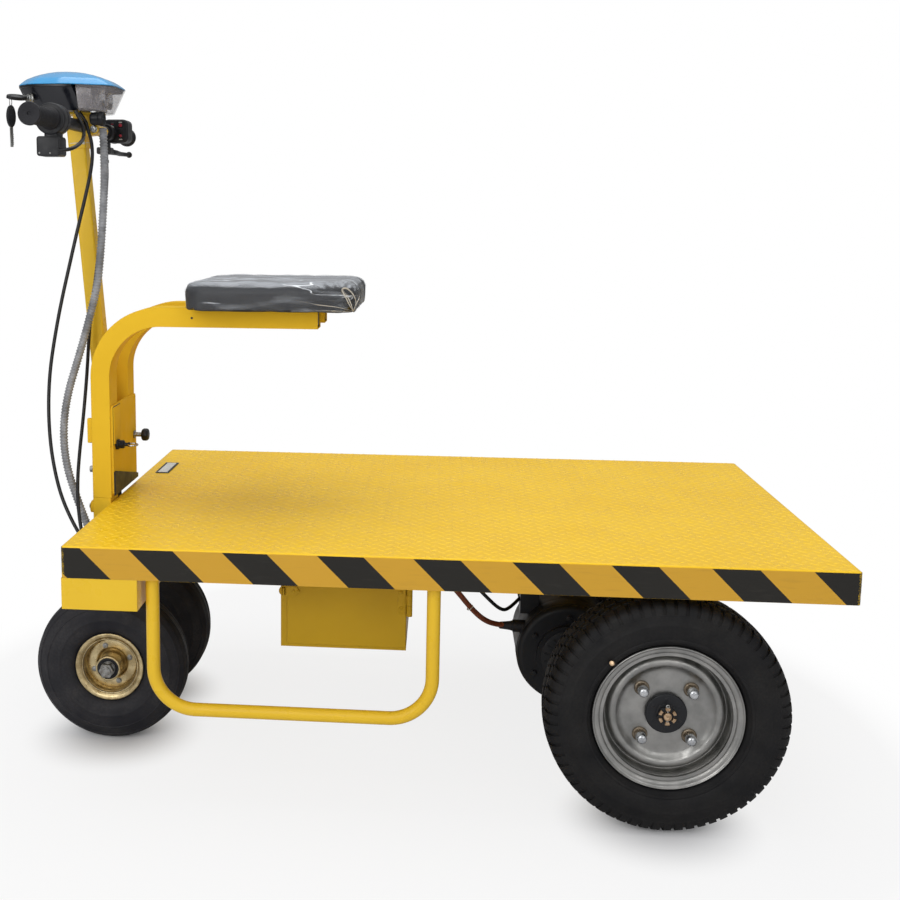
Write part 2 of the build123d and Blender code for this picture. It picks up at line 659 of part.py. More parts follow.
        # Castle nut on the end of the half shaft
        with BuildSketch(
            outboard_plane(DRIVE_X, DRIVE_TRACK / 2 + DRIVE_DISC_FACE + DRIVE_HUB_PROUD, drive_axle_z, side.sign)
        ):
            Circle(16)
            Circle(SHAFT_END_DIA / 2, mode=Mode.SUBTRACT)
        extrude(amount=11)
        with BuildSketch(
            outboard_plane(DRIVE_X, DRIVE_TRACK / 2 + DRIVE_DISC_FACE + DRIVE_HUB_PROUD + 6, drive_axle_z, side.sign)
        ):
            with PolarLocations(12.5, 6):
                Rectangle(8, 4)
        extrude(amount=5, mode=Mode.SUBTRACT)
    keep(drive_hub, f"drive_hub_{side.name}")

# Beam axle: tube, backplates and the gearcase that joins it to the motor
backplate_in = DRIVE_TRACK / 2 + drum_out - DRUM_WIDTH - BACKPLATE_GAP
with BuildPart() as axle_housing:
    with BuildSketch(Plane(origin=(DRIVE_X, 0, drive_axle_z), z_dir=(0, 1, 0))):
        Circle(AXLE_TUBE_DIA / 2)
    extrude(amount=backplate_in, both=True)
    with BuildSketch(Plane.XZ.offset(-MOTOR_FACE_Y)):
        with Locations((DRIVE_X, drive_axle_z)):
            Circle(GEARCASE_AXLE_R)
        with Locations((MOTOR_X, MOTOR_Z)):
            Circle(GEARCASE_MOTOR_R)
        make_hull()
    extrude(amount=-GEARCASE_WIDTH)
    fillet(axle_housing.edges().filter_by(GeomType.CIRCLE, reverse=False).group_by(Axis.Y)[-2], 1)
    for side in SIDES:
        with BuildSketch(outboard_plane(DRIVE_X, backplate_in, drive_axle_z, side.sign)):
            Circle(BACKPLATE_DIA / 2)
        extrude(amount=-BACKPLATE_THICKNESS)
        with BuildSketch(outboard_plane(DRIVE_X, backplate_in, drive_axle_z, side.sign)):
            Circle(HALF_SHAFT_DIA / 2 + BEARING_CLEARANCE)
        extrude(amount=-HALF_SHAFT_LENGTH - 2, mode=Mode.SUBTRACT)
keep(axle_housing, "axle_housing")

# Hangers that bolt the axle tube to the rails
for side in SIDES:
    with BuildPart() as axle_hanger:
        with BuildSketch(Plane.XZ.offset(-side.sign * RAIL_Y)):
            with BuildLine():
                Polyline(
                    (DRIVE_X - HANGER_TOP_LENGTH / 2, skirt_bottom),
                    (DRIVE_X + HANGER_TOP_LENGTH / 2, skirt_bottom),
                    (DRIVE_X + AXLE_TUBE_DIA / 2 + HANGER_BAND, drive_axle_z),
                    (DRIVE_X - AXLE_TUBE_DIA / 2 - HANGER_BAND, drive_axle_z),
                    close=True,
                )
            make_face()
            with Locations((DRIVE_X, drive_axle_z)):
                Circle(AXLE_TUBE_DIA / 2 + HANGER_BAND)
        extrude(amount=HANGER_WIDTH / 2, both=True)
        with BuildSketch(Plane.XZ.offset(-side.sign * RAIL_Y)):
            with Locations((DRIVE_X, drive_axle_z)):
                Circle(AXLE_TUBE_DIA / 2 + FIT_GAP)
            with Locations((DRIVE_X, (skirt_bottom + drive_axle_z + AXLE_TUBE_DIA) / 2)):
                SlotCenterToCenter(40, 44, rotation=90)
        extrude(amount=HANGER_WIDTH, both=True, mode=Mode.SUBTRACT)
    keep(axle_hanger, f"axle_hanger_{side.name}")

# Drive motor, a drum with an end bell and a terminal bracket
with BuildPart() as drive_motor:
    with BuildSketch(Plane.XZ.offset(-MOTOR_FACE_Y)):
        with Locations((MOTOR_X, MOTOR_Z)):
            Circle(MOTOR_DIA / 2)
    extrude(amount=MOTOR_LENGTH)
    fillet(drive_motor.faces().sort_by(Axis.Y)[0].edges(), 10)
    with BuildSketch(Plane.XZ.offset(-MOTOR_FACE_Y + MOTOR_LENGTH)):
        with Locations((MOTOR_X, MOTOR_Z)):
            Circle(MOTOR_DIA / 2 - 34)
    extrude(amount=12)
    with BuildSketch(Plane.XZ.offset(-MOTOR_FACE_Y + 60)):
        with Locations((MOTOR_X - 68, MOTOR_Z + 84)):
            Rectangle(34, 50)
    extrude(amount=40)
keep(drive_motor, "drive_motor")

# Fixed base of the seat mast, welded on the deck's steering end
near_tube_half = 25.0
with BuildPart() as seat_base:
    with BuildSketch(Plane.XY.offset(skirt_bottom + 3)):
        with Locations(((MAST_BACK_X + deck_rear_x) / 2, SEAT_PIVOT_Y)):
            Rectangle(deck_rear_x - MAST_BACK_X, 2 * near_tube_half)
    extrude(amount=MAST_BOTTOM - SOFT_GAP - skirt_bottom - 3)
    with BuildSketch(Plane.XY.offset(MAST_BOTTOM - SOFT_GAP)):
        with Locations((SEAT_PIVOT_X, SEAT_PIVOT_Y)):
            Circle(SEAT_SPIGOT_DIA / 2)
    extrude(amount=SEAT_SPIGOT_LENGTH)
    with BuildSketch(Plane(origin=(MAST_BACK_X, SEAT_PIVOT_Y, DECK_TOP - 14), z_dir=(-1, 0, 0))):
        SlotCenterToCenter(10, 22, rotation=90)
    extrude(amount=9)
keep(seat_base, "seat_base")


# Seat mast tubes
class MastTube(NamedTuple):
    """One bent tube of the seat mast and the span of Y that it fills."""

    name: str
    y_low: float
    y_high: float


mast_mid_x = MAST_BACK_X + MAST_DEPTH / 2
mast_arm_z = MAST_ARM_TOP - MAST_DEPTH / 2
mast_mid_r = MAST_BEND_R - MAST_DEPTH / 2
MAST_TUBES = (
    MastTube("seat_mast_right", SEAT_PIVOT_Y - near_tube_half, SEAT_PIVOT_Y + near_tube_half),
    MastTube("seat_mast_left", 25.0, 68.0),
)
for tube in MAST_TUBES:
    width = tube.y_high - tube.y_low
    middle = Plane.XZ.offset(-(tube.y_low + tube.y_high) / 2)
    with BuildPart() as seat_mast:
        with BuildSketch(middle):
            with BuildLine():
                FilletPolyline(
                    (mast_mid_x, MAST_BOTTOM),
                    (mast_mid_x, mast_arm_z),
                    (MAST_ARM_END_X, mast_arm_z),
                    radius=mast_mid_r,
                )
            trace(line_width=MAST_DEPTH)
        extrude(amount=width / 2, both=True)
        with BuildSketch(middle):
            with BuildLine():
                FilletPolyline(
                    (mast_mid_x, MAST_BOTTOM),
                    (mast_mid_x, mast_arm_z),
                    (MAST_ARM_END_X, mast_arm_z),
                    radius=mast_mid_r,
                )
            trace(line_width=MAST_DEPTH - 2 * MAST_WALL)
        extrude(amount=width / 2 - MAST_WALL, both=True, mode=Mode.SUBTRACT)
    keep(seat_mast, tube.name)

# Web plate on the front of the two tubes, with a corner gusset below
mast_front_x = MAST_BACK_X + MAST_DEPTH
web_low_y = MAST_TUBES[0].y_low + 4
web_high_y = MAST_TUBES[1].y_high - 4
with BuildPart() as seat_web:
    with BuildSketch(Plane.YZ.offset(mast_front_x)):
        with Locations(((web_low_y + web_high_y) / 2, MAST_BOTTOM + 4 + WEB_HEIGHT / 2)):
            Rectangle(web_high_y - web_low_y, WEB_HEIGHT)
    extrude(amount=WEB_THICKNESS)
    fillet(seat_web.edges().filter_by(Axis.X), 6)
keep(seat_web, "seat_web")

with BuildPart() as seat_gusset:
    with BuildSketch(Plane.YZ.offset(mast_front_x + WEB_THICKNESS)):
        with BuildLine():
            Polyline(
                (web_low_y, MAST_BOTTOM + 4),
                (web_high_y, MAST_BOTTOM + 4),
                (web_high_y, MAST_BOTTOM + 12),
                (web_low_y + 12, MAST_BOTTOM + 48),
                (web_low_y, MAST_BOTTOM + 48),
                close=True,
            )
        make_face()
    extrude(amount=3)
keep(seat_gusset, "seat_gusset")

# Spring plunger that locks the swivel, and a knob on the left-hand tube
with BuildPart() as seat_latch:
    with BuildSketch(Plane.YZ.offset(mast_front_x + WEB_THICKNESS)):
        with Locations((SEAT_PIVOT_Y, 555)):
            Circle(PLUNGER_DIA / 2)
    extrude(amount=14)
    with BuildSketch(Plane.YZ.offset(mast_front_x + WEB_THICKNESS + 14)):
        with Locations((SEAT_PIVOT_Y, 555)):
            Circle(PLUNGER_DIA / 2 - 4)
    extrude(amount=12)
keep(seat_latch, "seat_latch")

with BuildPart() as seat_knob:
    with BuildSketch(Plane.YZ.offset(mast_front_x + WEB_THICKNESS)):
        with Locations((MAST_TUBES[1].y_high - 20, 550)):
            Circle(KNOB_DIA / 2 - 8)
    extrude(amount=16)
    with BuildSketch(Plane.YZ.offset(mast_front_x + WEB_THICKNESS + 16)):
        with Locations((MAST_TUBES[1].y_high - 20, 550)):
            Circle(KNOB_DIA / 2)
    extrude(amount=14)
    fillet(seat_knob.faces().sort_by(Axis.X)[-1].edges(), 4)
keep(seat_knob, "seat_knob")

# Seat board and the cushion that laps over it
with BuildPart() as seat_board:
    with BuildSketch(Plane.XY.offset(MAST_ARM_TOP)):
        with Locations((CUSHION_X, CUSHION_Y)):
            RectangleRounded(BOARD_SIZE, BOARD_SIZE, CUSHION_CORNER_R / 2)
    extrude(amount=BOARD_THICKNESS)
keep(seat_board, "seat_board")

with BuildPart() as seat_cushion:
    with BuildSketch(Plane.XY.offset(MAST_ARM_TOP + SOFT_GAP)):
        with Locations((CUSHION_X, CUSHION_Y)):
            RectangleRounded(CUSHION_SIZE, CUSHION_SIZE, CUSHION_CORNER_R)
    extrude(amount=CUSHION_THICKNESS - SOFT_GAP)
    fillet(seat_cushion.faces().sort_by(Axis.Z)[-1].edges(), CUSHION_EDGE_R)
    fillet(seat_cushion.faces().sort_by(Axis.Z)[0].edges(), CUSHION_EDGE_R / 2)
    with BuildSketch(Plane.XY.offset(MAST_ARM_TOP + SOFT_GAP)):
        with Locations((CUSHION_X, CUSHION_Y)):
            RectangleRounded(
                BOARD_SIZE + 2 * SOFT_GAP, BOARD_SIZE + 2 * SOFT_GAP, CUSHION_CORNER_R / 2 + SOFT_GAP
            )
    extrude(amount=BOARD_THICKNESS, mode=Mode.SUBTRACT)
keep(seat_cushion, "seat_cushion")

# Clamp on top of the column, with a seat for the console
clamp_floor = along(COLUMN_TOP)
with BuildPart() as bar_clamp:
    with BuildSketch(steer_plane.offset(clamp_floor)):
        RectangleRounded(CLAMP_SIZE, CLAMP_SIZE, COLUMN_CORNER_R)
    extrude(amount=BAR_Z - COLUMN_TOP)
    with BuildSketch(steer_plane.offset(clamp_floor)):
        Circle(COLUMN_SIZE / 2 - COLUMN_WALL - FIT_GAP)
    extrude(amount=-30)
    with BuildSketch(Plane.XZ):
        with Locations((BAR_X, BAR_Z)):
            Circle(BAR_DIA / 2 + 6)
        with Locations((CLAMP_BOSS_X, CLAMP_BOSS_Z)):
            Circle(CLAMP_BOSS_DIA / 2)
        make_hull()
    extrude(amount=CLAMP_SIZE / 2, both=True)
    with BuildSketch(Plane.XZ):
        with Locations((CLAMP_BOSS_X, CLAMP_BOSS_Z)):
            Circle(CLAMP_BOSS_DIA / 2)
    extrude(amount=32, both=True)
    with BuildSketch(Plane.XY.offset(BAR_Z)):
        with Locations((BAR_X, 0)):
            Rectangle(BAR_DIA + 12, CLAMP_SIZE)
    extrude(amount=CONSOLE_BOTTOM - BAR_Z)
    with BuildSketch(Plane.XY.offset(CONSOLE_BOTTOM)):
        with Locations((BAR_X, 0)):
            RectangleRounded(70, 50, 6)
    extrude(amount=-4)
    with BuildSketch(Plane.XZ):
        with Locations((BAR_X, BAR_Z)):
            Circle(BAR_DIA / 2 + FIT_GAP / 2)
    extrude(amount=100, both=True, mode=Mode.SUBTRACT)
keep(bar_clamp, "bar_clamp")

with BuildPart() as handlebar:
    with BuildSketch(Plane.XZ):
        with Locations((BAR_X, BAR_Z)):
            Circle(BAR_DIA / 2)
            Circle(BAR_DIA / 2 - BAR_WALL, mode=Mode.SUBTRACT)
    extrude(amount=BAR_LENGTH / 2, both=True)
keep(handlebar, "handlebar")

grip_inner_y = BAR_LENGTH / 2 + GRIP_CAP - GRIP_LENGTH
for side in SIDES:
    with BuildPart() as grip:
        with BuildSketch(wheel_plane(BAR_X, 0, BAR_Z, side.sign)):
            with BuildLine():
                Polyline(
                    (BAR_DIA / 2 + FIT_GAP / 2, grip_inner_y),
                    (GRIP_END_DIA / 2, grip_inner_y),
                    (GRIP_END_DIA / 2, grip_inner_y + 5),
                    (GRIP_DIA / 2, grip_inner_y + 8),
                    (GRIP_DIA / 2, BAR_LENGTH / 2 - 6),
                    (GRIP_END_DIA / 2, BAR_LENGTH / 2 - 3),
                    (GRIP_END_DIA / 2, BAR_LENGTH / 2 + GRIP_CAP),
                    (0, BAR_LENGTH / 2 + GRIP_CAP),
                    (0, BAR_LENGTH / 2 + FIT_GAP),
                    (BAR_DIA / 2 + FIT_GAP / 2, BAR_LENGTH / 2 + FIT_GAP),
                    close=True,
                )
            make_face()
        revolve(axis=Axis((BAR_X, 0, BAR_Z), (0, 1, 0)))
    keep(grip, f"grip_{side.name}")

# Throttle housing inboard of the right-hand grip, with its control box below
throttle_y = grip_inner_y - SOFT_GAP - THROTTLE_WIDTH / 2
with BuildPart() as throttle_housing:
    with BuildSketch(Plane.XZ.offset(throttle_y)):
        with Locations((BAR_X, BAR_Z)):
            Circle(THROTTLE_DIA / 2)
        with Locations((BAR_X - 4, BAR_Z - 46)):
            RectangleRounded(41, 34, 4)
        with Locations((BAR_X, BAR_Z - 26)):
            Rectangle(22, 20)
    extrude(amount=THROTTLE_WIDTH / 2, both=True)
    with BuildSketch(Plane.XZ.offset(throttle_y)):
        with Locations((BAR_X, BAR_Z)):
            Circle(BAR_DIA / 2 + FIT_GAP / 2)
    extrude(amount=THROTTLE_WIDTH, both=True, mode=Mode.SUBTRACT)
keep(throttle_housing, "throttle_housing")

# Switch box and brake lever inboard of the left-hand grip
with BuildPart() as switch_box:
    with BuildSketch(Plane.XZ.offset(-throttle_y)):
        with Locations((BAR_X + 14, BAR_Z + 4)):
            RectangleRounded(50, 46, 9)
        with Locations((BAR_X, BAR_Z)):
            Circle(BAR_DIA / 2 + FIT_GAP / 2, mode=Mode.SUBTRACT)
    extrude(amount=THROTTLE_WIDTH / 2, both=True)
keep(switch_box, "switch_box")

lever_y = grip_inner_y - 2 * SOFT_GAP - THROTTLE_WIDTH - 12
with BuildPart() as brake_lever:
    with BuildSketch(Plane.XZ.offset(-lever_y)):
        with Locations((BAR_X, BAR_Z)):
            Circle(BAR_DIA / 2 + 5)
        with Locations((BAR_X - 4, BAR_Z - 36)):
            RectangleRounded(30, 14, 3)
        with Locations((BAR_X - 2, BAR_Z - 22)):
            Rectangle(14, 20)
        with Locations((BAR_X, BAR_Z)):
            Circle(BAR_DIA / 2 + FIT_GAP / 2, mode=Mode.SUBTRACT)
    extrude(amount=12, both=True)
    with BuildSketch(Plane.XY.offset(BAR_Z - 40)):
        with BuildLine():
            lever_line = FilletPolyline(
                (BAR_X - 4, lever_y - 4),
                (BAR_X + 6, lever_y + 40),
                (BAR_X - 2, lever_y + 100),
                (BAR_X + 8, lever_y + 138),
                radius=30,
            )
        trace(line_width=14)
    extrude(amount=6)
keep(brake_lever, "brake_lever")

# Console: a pod that is split into a body, a cover and a front lens
console_mid_x = console_rear_x + CONSOLE_LENGTH / 2
console_half = CONSOLE_WIDTH / 2


def pod_outline(inset: float, rear: float) -> list:
    """Give the pod's outline in plan, drawn in from its widest line.

    Args:
        inset: How far the sides come in.
        rear: How far the rear end comes in.
    """
    left = console_rear_x + rear
    right = console_rear_x + CONSOLE_LENGTH - inset
    half = console_half - inset
    return [
        (left, -half * 0.55),
        (left + 34, -half * 0.92),
        (left + 96, -half),
        (right - 8, -half * 0.66),
        (right, -half * 0.4),
        (right, half * 0.4),
        (right - 8, half * 0.66),
        (left + 96, half),
        (left + 34, half * 0.92),
        (left, half * 0.55),
    ]


lens_x = console_rear_x + CONSOLE_LENGTH - LENS_LENGTH
with BuildPart() as console_body:
    with BuildSketch(Plane.XY.offset(CONSOLE_BOTTOM)):
        with BuildLine():
            Polyline(*pod_outline(20, 16), close=True)
        make_face()
    with BuildSketch(Plane.XY.offset(CONSOLE_SEAM - SEAM_GAP)):
        with BuildLine():
            Polyline(*pod_outline(0, 0), close=True)
        make_face()
    loft(ruled=True)
    split(bisect_by=Plane.YZ.offset(lens_x), keep=Keep.BOTTOM)
keep(console_body, "console_body")

with BuildPart() as headlight_lens:
    with BuildSketch(Plane.XY.offset(CONSOLE_BOTTOM)):
        with BuildLine():
            Polyline(*pod_outline(20, 16), close=True)
        make_face()
    with BuildSketch(Plane.XY.offset(CONSOLE_SEAM - SEAM_GAP)):
        with BuildLine():
            Polyline(*pod_outline(0, 0), close=True)
        make_face()
    loft(ruled=True)
    split(bisect_by=Plane.YZ.offset(lens_x + SEAM_GAP), keep=Keep.TOP)
    offset(
        amount=-LENS_WALL,
        openings=headlight_lens.faces().sort_by(Axis.X)[0],
        kind=Kind.INTERSECTION,
    )
keep(headlight_lens, "headlight_lens")

with BuildPart() as console_cover:
    with BuildSketch(Plane.XY.offset(CONSOLE_SEAM)):
        with BuildLine():
            Polyline(*pod_outline(0, 0), close=True)
        make_face()
    with BuildSketch(Plane.XY.offset(CONSOLE_TOP)):
        with BuildLine():
            Polyline(*pod_outline(46, 40), close=True)
        make_face()
    loft(ruled=True)
keep(console_cover, "console_cover")

# Horn below the lens
with BuildPart() as horn:
    with BuildSketch(Plane.YZ.offset(BAR_X + 24)):
        with Locations((-42, CONSOLE_BOTTOM - HORN_DIA / 2 - SEAM_GAP)):
            Circle(HORN_DIA / 2)
    extrude(amount=26)
keep(horn, "horn")

# Ignition lock on the pod's right-hand rear corner, with the key in it
with BuildPart() as ignition_lock:
    lock = Plane(origin=(console_rear_x + 34, -console_half * 0.78, CONSOLE_SEAM - 24), z_dir=(-0.7, -0.714, 0))
    with BuildSketch(lock):
        Circle(7)
    extrude(amount=8)
    with BuildSketch(lock.offset(8)):
        Rectangle(3, 9)
    extrude(amount=8)
    with BuildSketch(lock.offset(16)):
        Rectangle(4, 18)
    extrude(amount=22)
keep(ignition_lock, "ignition_lock")

# Plate with three entries for the wiring, on the cross-member's end
entry_x = deck_rear_x - ENTRY_THICKNESS
entry_z = skirt_bottom - CROSSMEMBER_HEIGHT / 2
with BuildPart() as cable_entry:
    with BuildSketch(Plane.YZ.offset(deck_rear_x)):
        with Locations((-160, entry_z)):
            RectangleRounded(100, 34, 6)
    extrude(amount=-ENTRY_THICKNESS)
keep(cable_entry, "cable_entry")

# Gland on the motor's right-hand end
gland_y = MOTOR_FACE_Y - MOTOR_LENGTH + 30
gland_z = MOTOR_Z + GLAND_RISE
gland_x = MOTOR_X - MOTOR_DIA / 2 - GLAND_PROUD
with BuildPart() as cable_gland:
    with BuildSketch(Plane(origin=(gland_x, gland_y, gland_z), z_dir=(1, 0, 0))):
        Circle(GLAND_DIA / 2)
    extrude(amount=GLAND_LENGTH)
    with BuildSketch(Plane.XZ.offset(-MOTOR_FACE_Y)):
        with Locations((MOTOR_X, MOTOR_Z)):
            Circle(MOTOR_DIA / 2 + FIT_GAP)
    extrude(amount=MOTOR_LENGTH, mode=Mode.SUBTRACT)
keep(cable_gland, "cable_gland")


class Cord(NamedTuple):
    """One cord: its name, its diameter and the points that it runs through."""

    name: str
    diameter: float
    points: tuple


CORDS = (
    Cord(
        "wiring_conduit",
        CONDUIT_DIA,
        (
            (-559.5, -28, CLAMP_BOSS_Z + 2),
            (-559, -28, 1110),
            (-557, -33, 1078),
            (-556, -38, 1040),
            (-557, -44, 996),
            (-559, -50, 950),
            (-562, -55, 900),
            (-567, -58, 852),
            (-579, -60, 804),
            (-593, -64, 752),
            (-607, -70, 703),
            (-621, -78, 654),
            (-628, -87, 604),
            (-627, -96, 556),
            (-618, -105, 510),
            (-602, -113, 468),
            (-588, -119, 434),
            (-574, -123, 402),
            (-560, -123, 379),
            (entry_x, -123, 379),
        ),
    ),
    Cord(
        "brake_cable_right",
        CABLE_DIA,
        (
            (-599, -42, CONSOLE_BOTTOM - 1.9),
            (-588, -42, 1150),
            (-584, -40, 1132),
            (-577, -40, 1108),
            (-576, -44, 1072),
            (-587, -50, 1018),
            (-602, -58, 954),
            (-617, -68, 884),
            (-631, -77, 818),
            (-642, -86, 754),
            (-650, -95, 692),
            (-651, -106, 628),
            (-645, -119, 564),
            (-634, -130, 512),
            (-620, -141, 470),
            (-602, -152, 436),
            (-583, -160, 406),
            (-564, -164, 379),
            (entry_x, -164, 379),
        ),
    ),
    Cord(
        "brake_cable_left",
        CABLE_DIA,
        (
            (BAR_X - 2, 150, BAR_Z - 43),
            (BAR_X - 2, 150, 1080),
            (-600, 136, 1058),
            (-590, 96, 1038),
            (-579, 52, 1020),
            (-571, 10, 994),
            (-570, -16, 955),
            (-574, -28, 902),
            (-581, -33, 850),
            (-589, -37, 800),
            (-591, -45, 748),
            (-591, -62, 696),
            (-590, -84, 646),
            (-588, -110, 592),
            (-585, -136, 540),
            (-580, -158, 490),
            (-573, -177, 444),
            (-565, -190, 406),
            (-560, -196, 379),
            (entry_x, -196, 379),
        ),
    ),
    Cord(
        "throttle_wire",
        CABLE_DIA,
        (
            (BAR_X + 16.5, -205, 1087),
            (-573, -205, 1087),
            (-562, -192, 1092),
            (-560, -160, 1103),
            (-566, -126, 1114),
            (-575, -96, 1126),
            (-583, -78, 1140),
            (-592, -71, 1153),
            (-597.5, -70, CONSOLE_BOTTOM - 1.3),
        ),
    ),
    Cord(
        "motor_lead",
        MOTOR_LEAD_DIA,
        (
            (BOX_FRONT_X, -150, 364),
            (42, -150, 364),
            (76, -147, 346),
            (105, -140, 314),
            (130, -130, 280),
            (156, -110, 250),
            (184, gland_y, gland_z),
            (gland_x, gland_y, gland_z),
        ),
    ),
    Cord(
        "sensor_lead",
        CABLE_DIA,
        (
            (BOX_FRONT_X, -120, 382),
            (56, -120, 382),
            (94, -118, 366),
            (130, -112, 340),
            (160, -102, 311),
            (184, -76, 284),
            (200, -40, 272),
            (MOTOR_X - 85, -40, 272),
        ),
    ),
)


def cord_radii(points: tuple) -> list[float]:
    """Give each bend the largest radius that its two runs allow."""
    vectors = [Vector(*point) for point in points]
    radii = []
    for before, here, after in zip(vectors, vectors[1:], vectors[2:]):
        turn = radians((here - before).get_angle(after - here))
        run = min((here - before).length, (after - here).length)
        radii.append(0.45 * run / tan(turn / 2))
    return radii


for cord in CORDS:
    radii = cord_radii(cord.points)
    with BuildPart() as cord_tube:
        with BuildLine() as cord_path:
            FilletPolyline(*cord.points, radius=radii)
        with BuildSketch(Plane(origin=cord_path.line @ 0, z_dir=cord_path.line % 0)):
            Circle(cord.diameter / 2)
        sweep(path=cord_path.line)
    keep(cord_tube, cord.name)
    ideal = pi * cord.diameter**2 / 4 * cord_path.wires()[0].length
    print(cord.name, "radii", [round(radius) for radius in radii])
    print(cord.name, "volume over section by length", round(cord_tube.part.volume / ideal, 4))
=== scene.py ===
import logging
from dataclasses import dataclass
from enum import Enum
from math import atan2, ceil, cos, pi, radians, sin
from typing import Sequence

import bmesh
import bpy
from mathutils import Matrix, Vector, noise


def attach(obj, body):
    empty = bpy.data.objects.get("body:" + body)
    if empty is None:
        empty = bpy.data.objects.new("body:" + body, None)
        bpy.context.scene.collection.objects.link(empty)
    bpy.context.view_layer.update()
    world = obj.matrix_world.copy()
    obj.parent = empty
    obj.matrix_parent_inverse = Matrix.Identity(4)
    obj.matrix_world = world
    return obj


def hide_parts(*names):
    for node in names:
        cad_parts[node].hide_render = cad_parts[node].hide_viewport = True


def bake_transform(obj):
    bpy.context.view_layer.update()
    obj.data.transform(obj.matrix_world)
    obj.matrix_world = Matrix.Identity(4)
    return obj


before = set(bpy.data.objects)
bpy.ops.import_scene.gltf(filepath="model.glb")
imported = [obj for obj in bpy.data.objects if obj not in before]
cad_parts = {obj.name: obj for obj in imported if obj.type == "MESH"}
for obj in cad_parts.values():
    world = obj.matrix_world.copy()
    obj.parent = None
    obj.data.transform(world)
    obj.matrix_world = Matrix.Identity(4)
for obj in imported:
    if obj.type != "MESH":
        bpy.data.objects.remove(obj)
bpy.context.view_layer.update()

# The electric platform cart, dressed over its CAD nodes. Sizes are in
# millimetres in the cart's own frame, and turn into metres in Piece.make.

MM = 0.001
BEVEL_SAMPLES = 6
log = logging.getLogger("cart")

Tree = bpy.types.NodeTree
Node = bpy.types.Node
Socket = bpy.types.NodeSocket


class Side(Enum):
    """A side of the cart, with the sign of its Y."""

    RIGHT = -1
    LEFT = 1

    @property
    def word(self) -> str:
        """Give the side as it stands in a node's name."""
        return self.name.lower()


class Stuff(Enum):
    """What a line on the cart is made of, which sets how its tube is drawn."""

    CORRUGATED = "corrugated"
    PLAIN = "plain"


# --- Finishes ---


def linear(colour: str) -> tuple[float, float, float, float]:
    """Turn an sRGB hex colour into linear RGBA.

    Args:
        colour: The colour as #rrggbb.

    Returns:
        Red, green, blue and full alpha.
    """
    parts = [int(colour[i : i + 2], 16) / 255 for i in (1, 3, 5)]
    turned = [p / 12.92 if p <= 0.04045 else ((p + 0.055) / 1.055) ** 2.4 for p in parts]
    return (turned[0], turned[1], turned[2], 1.0)


def add_node(tree: Tree, kind: str, inputs: dict | None = None, **settings) -> Node:
    """Add a node with its settings, its input values and its links.

    Args:
        tree: The tree that gets the node.
        kind: The node's type name.
        inputs: A value or another node's output for each named or numbered input.
        settings: Properties of the node.

    Returns:
        The new node.
    """
    node = tree.nodes.new(kind)
    for name, value in settings.items():
        setattr(node, name, value)
    for key, value in (inputs or {}).items():
        if isinstance(value, Socket):
            tree.links.new(value, node.inputs[key])
        else:
            node.inputs[key].default_value = value
    return node


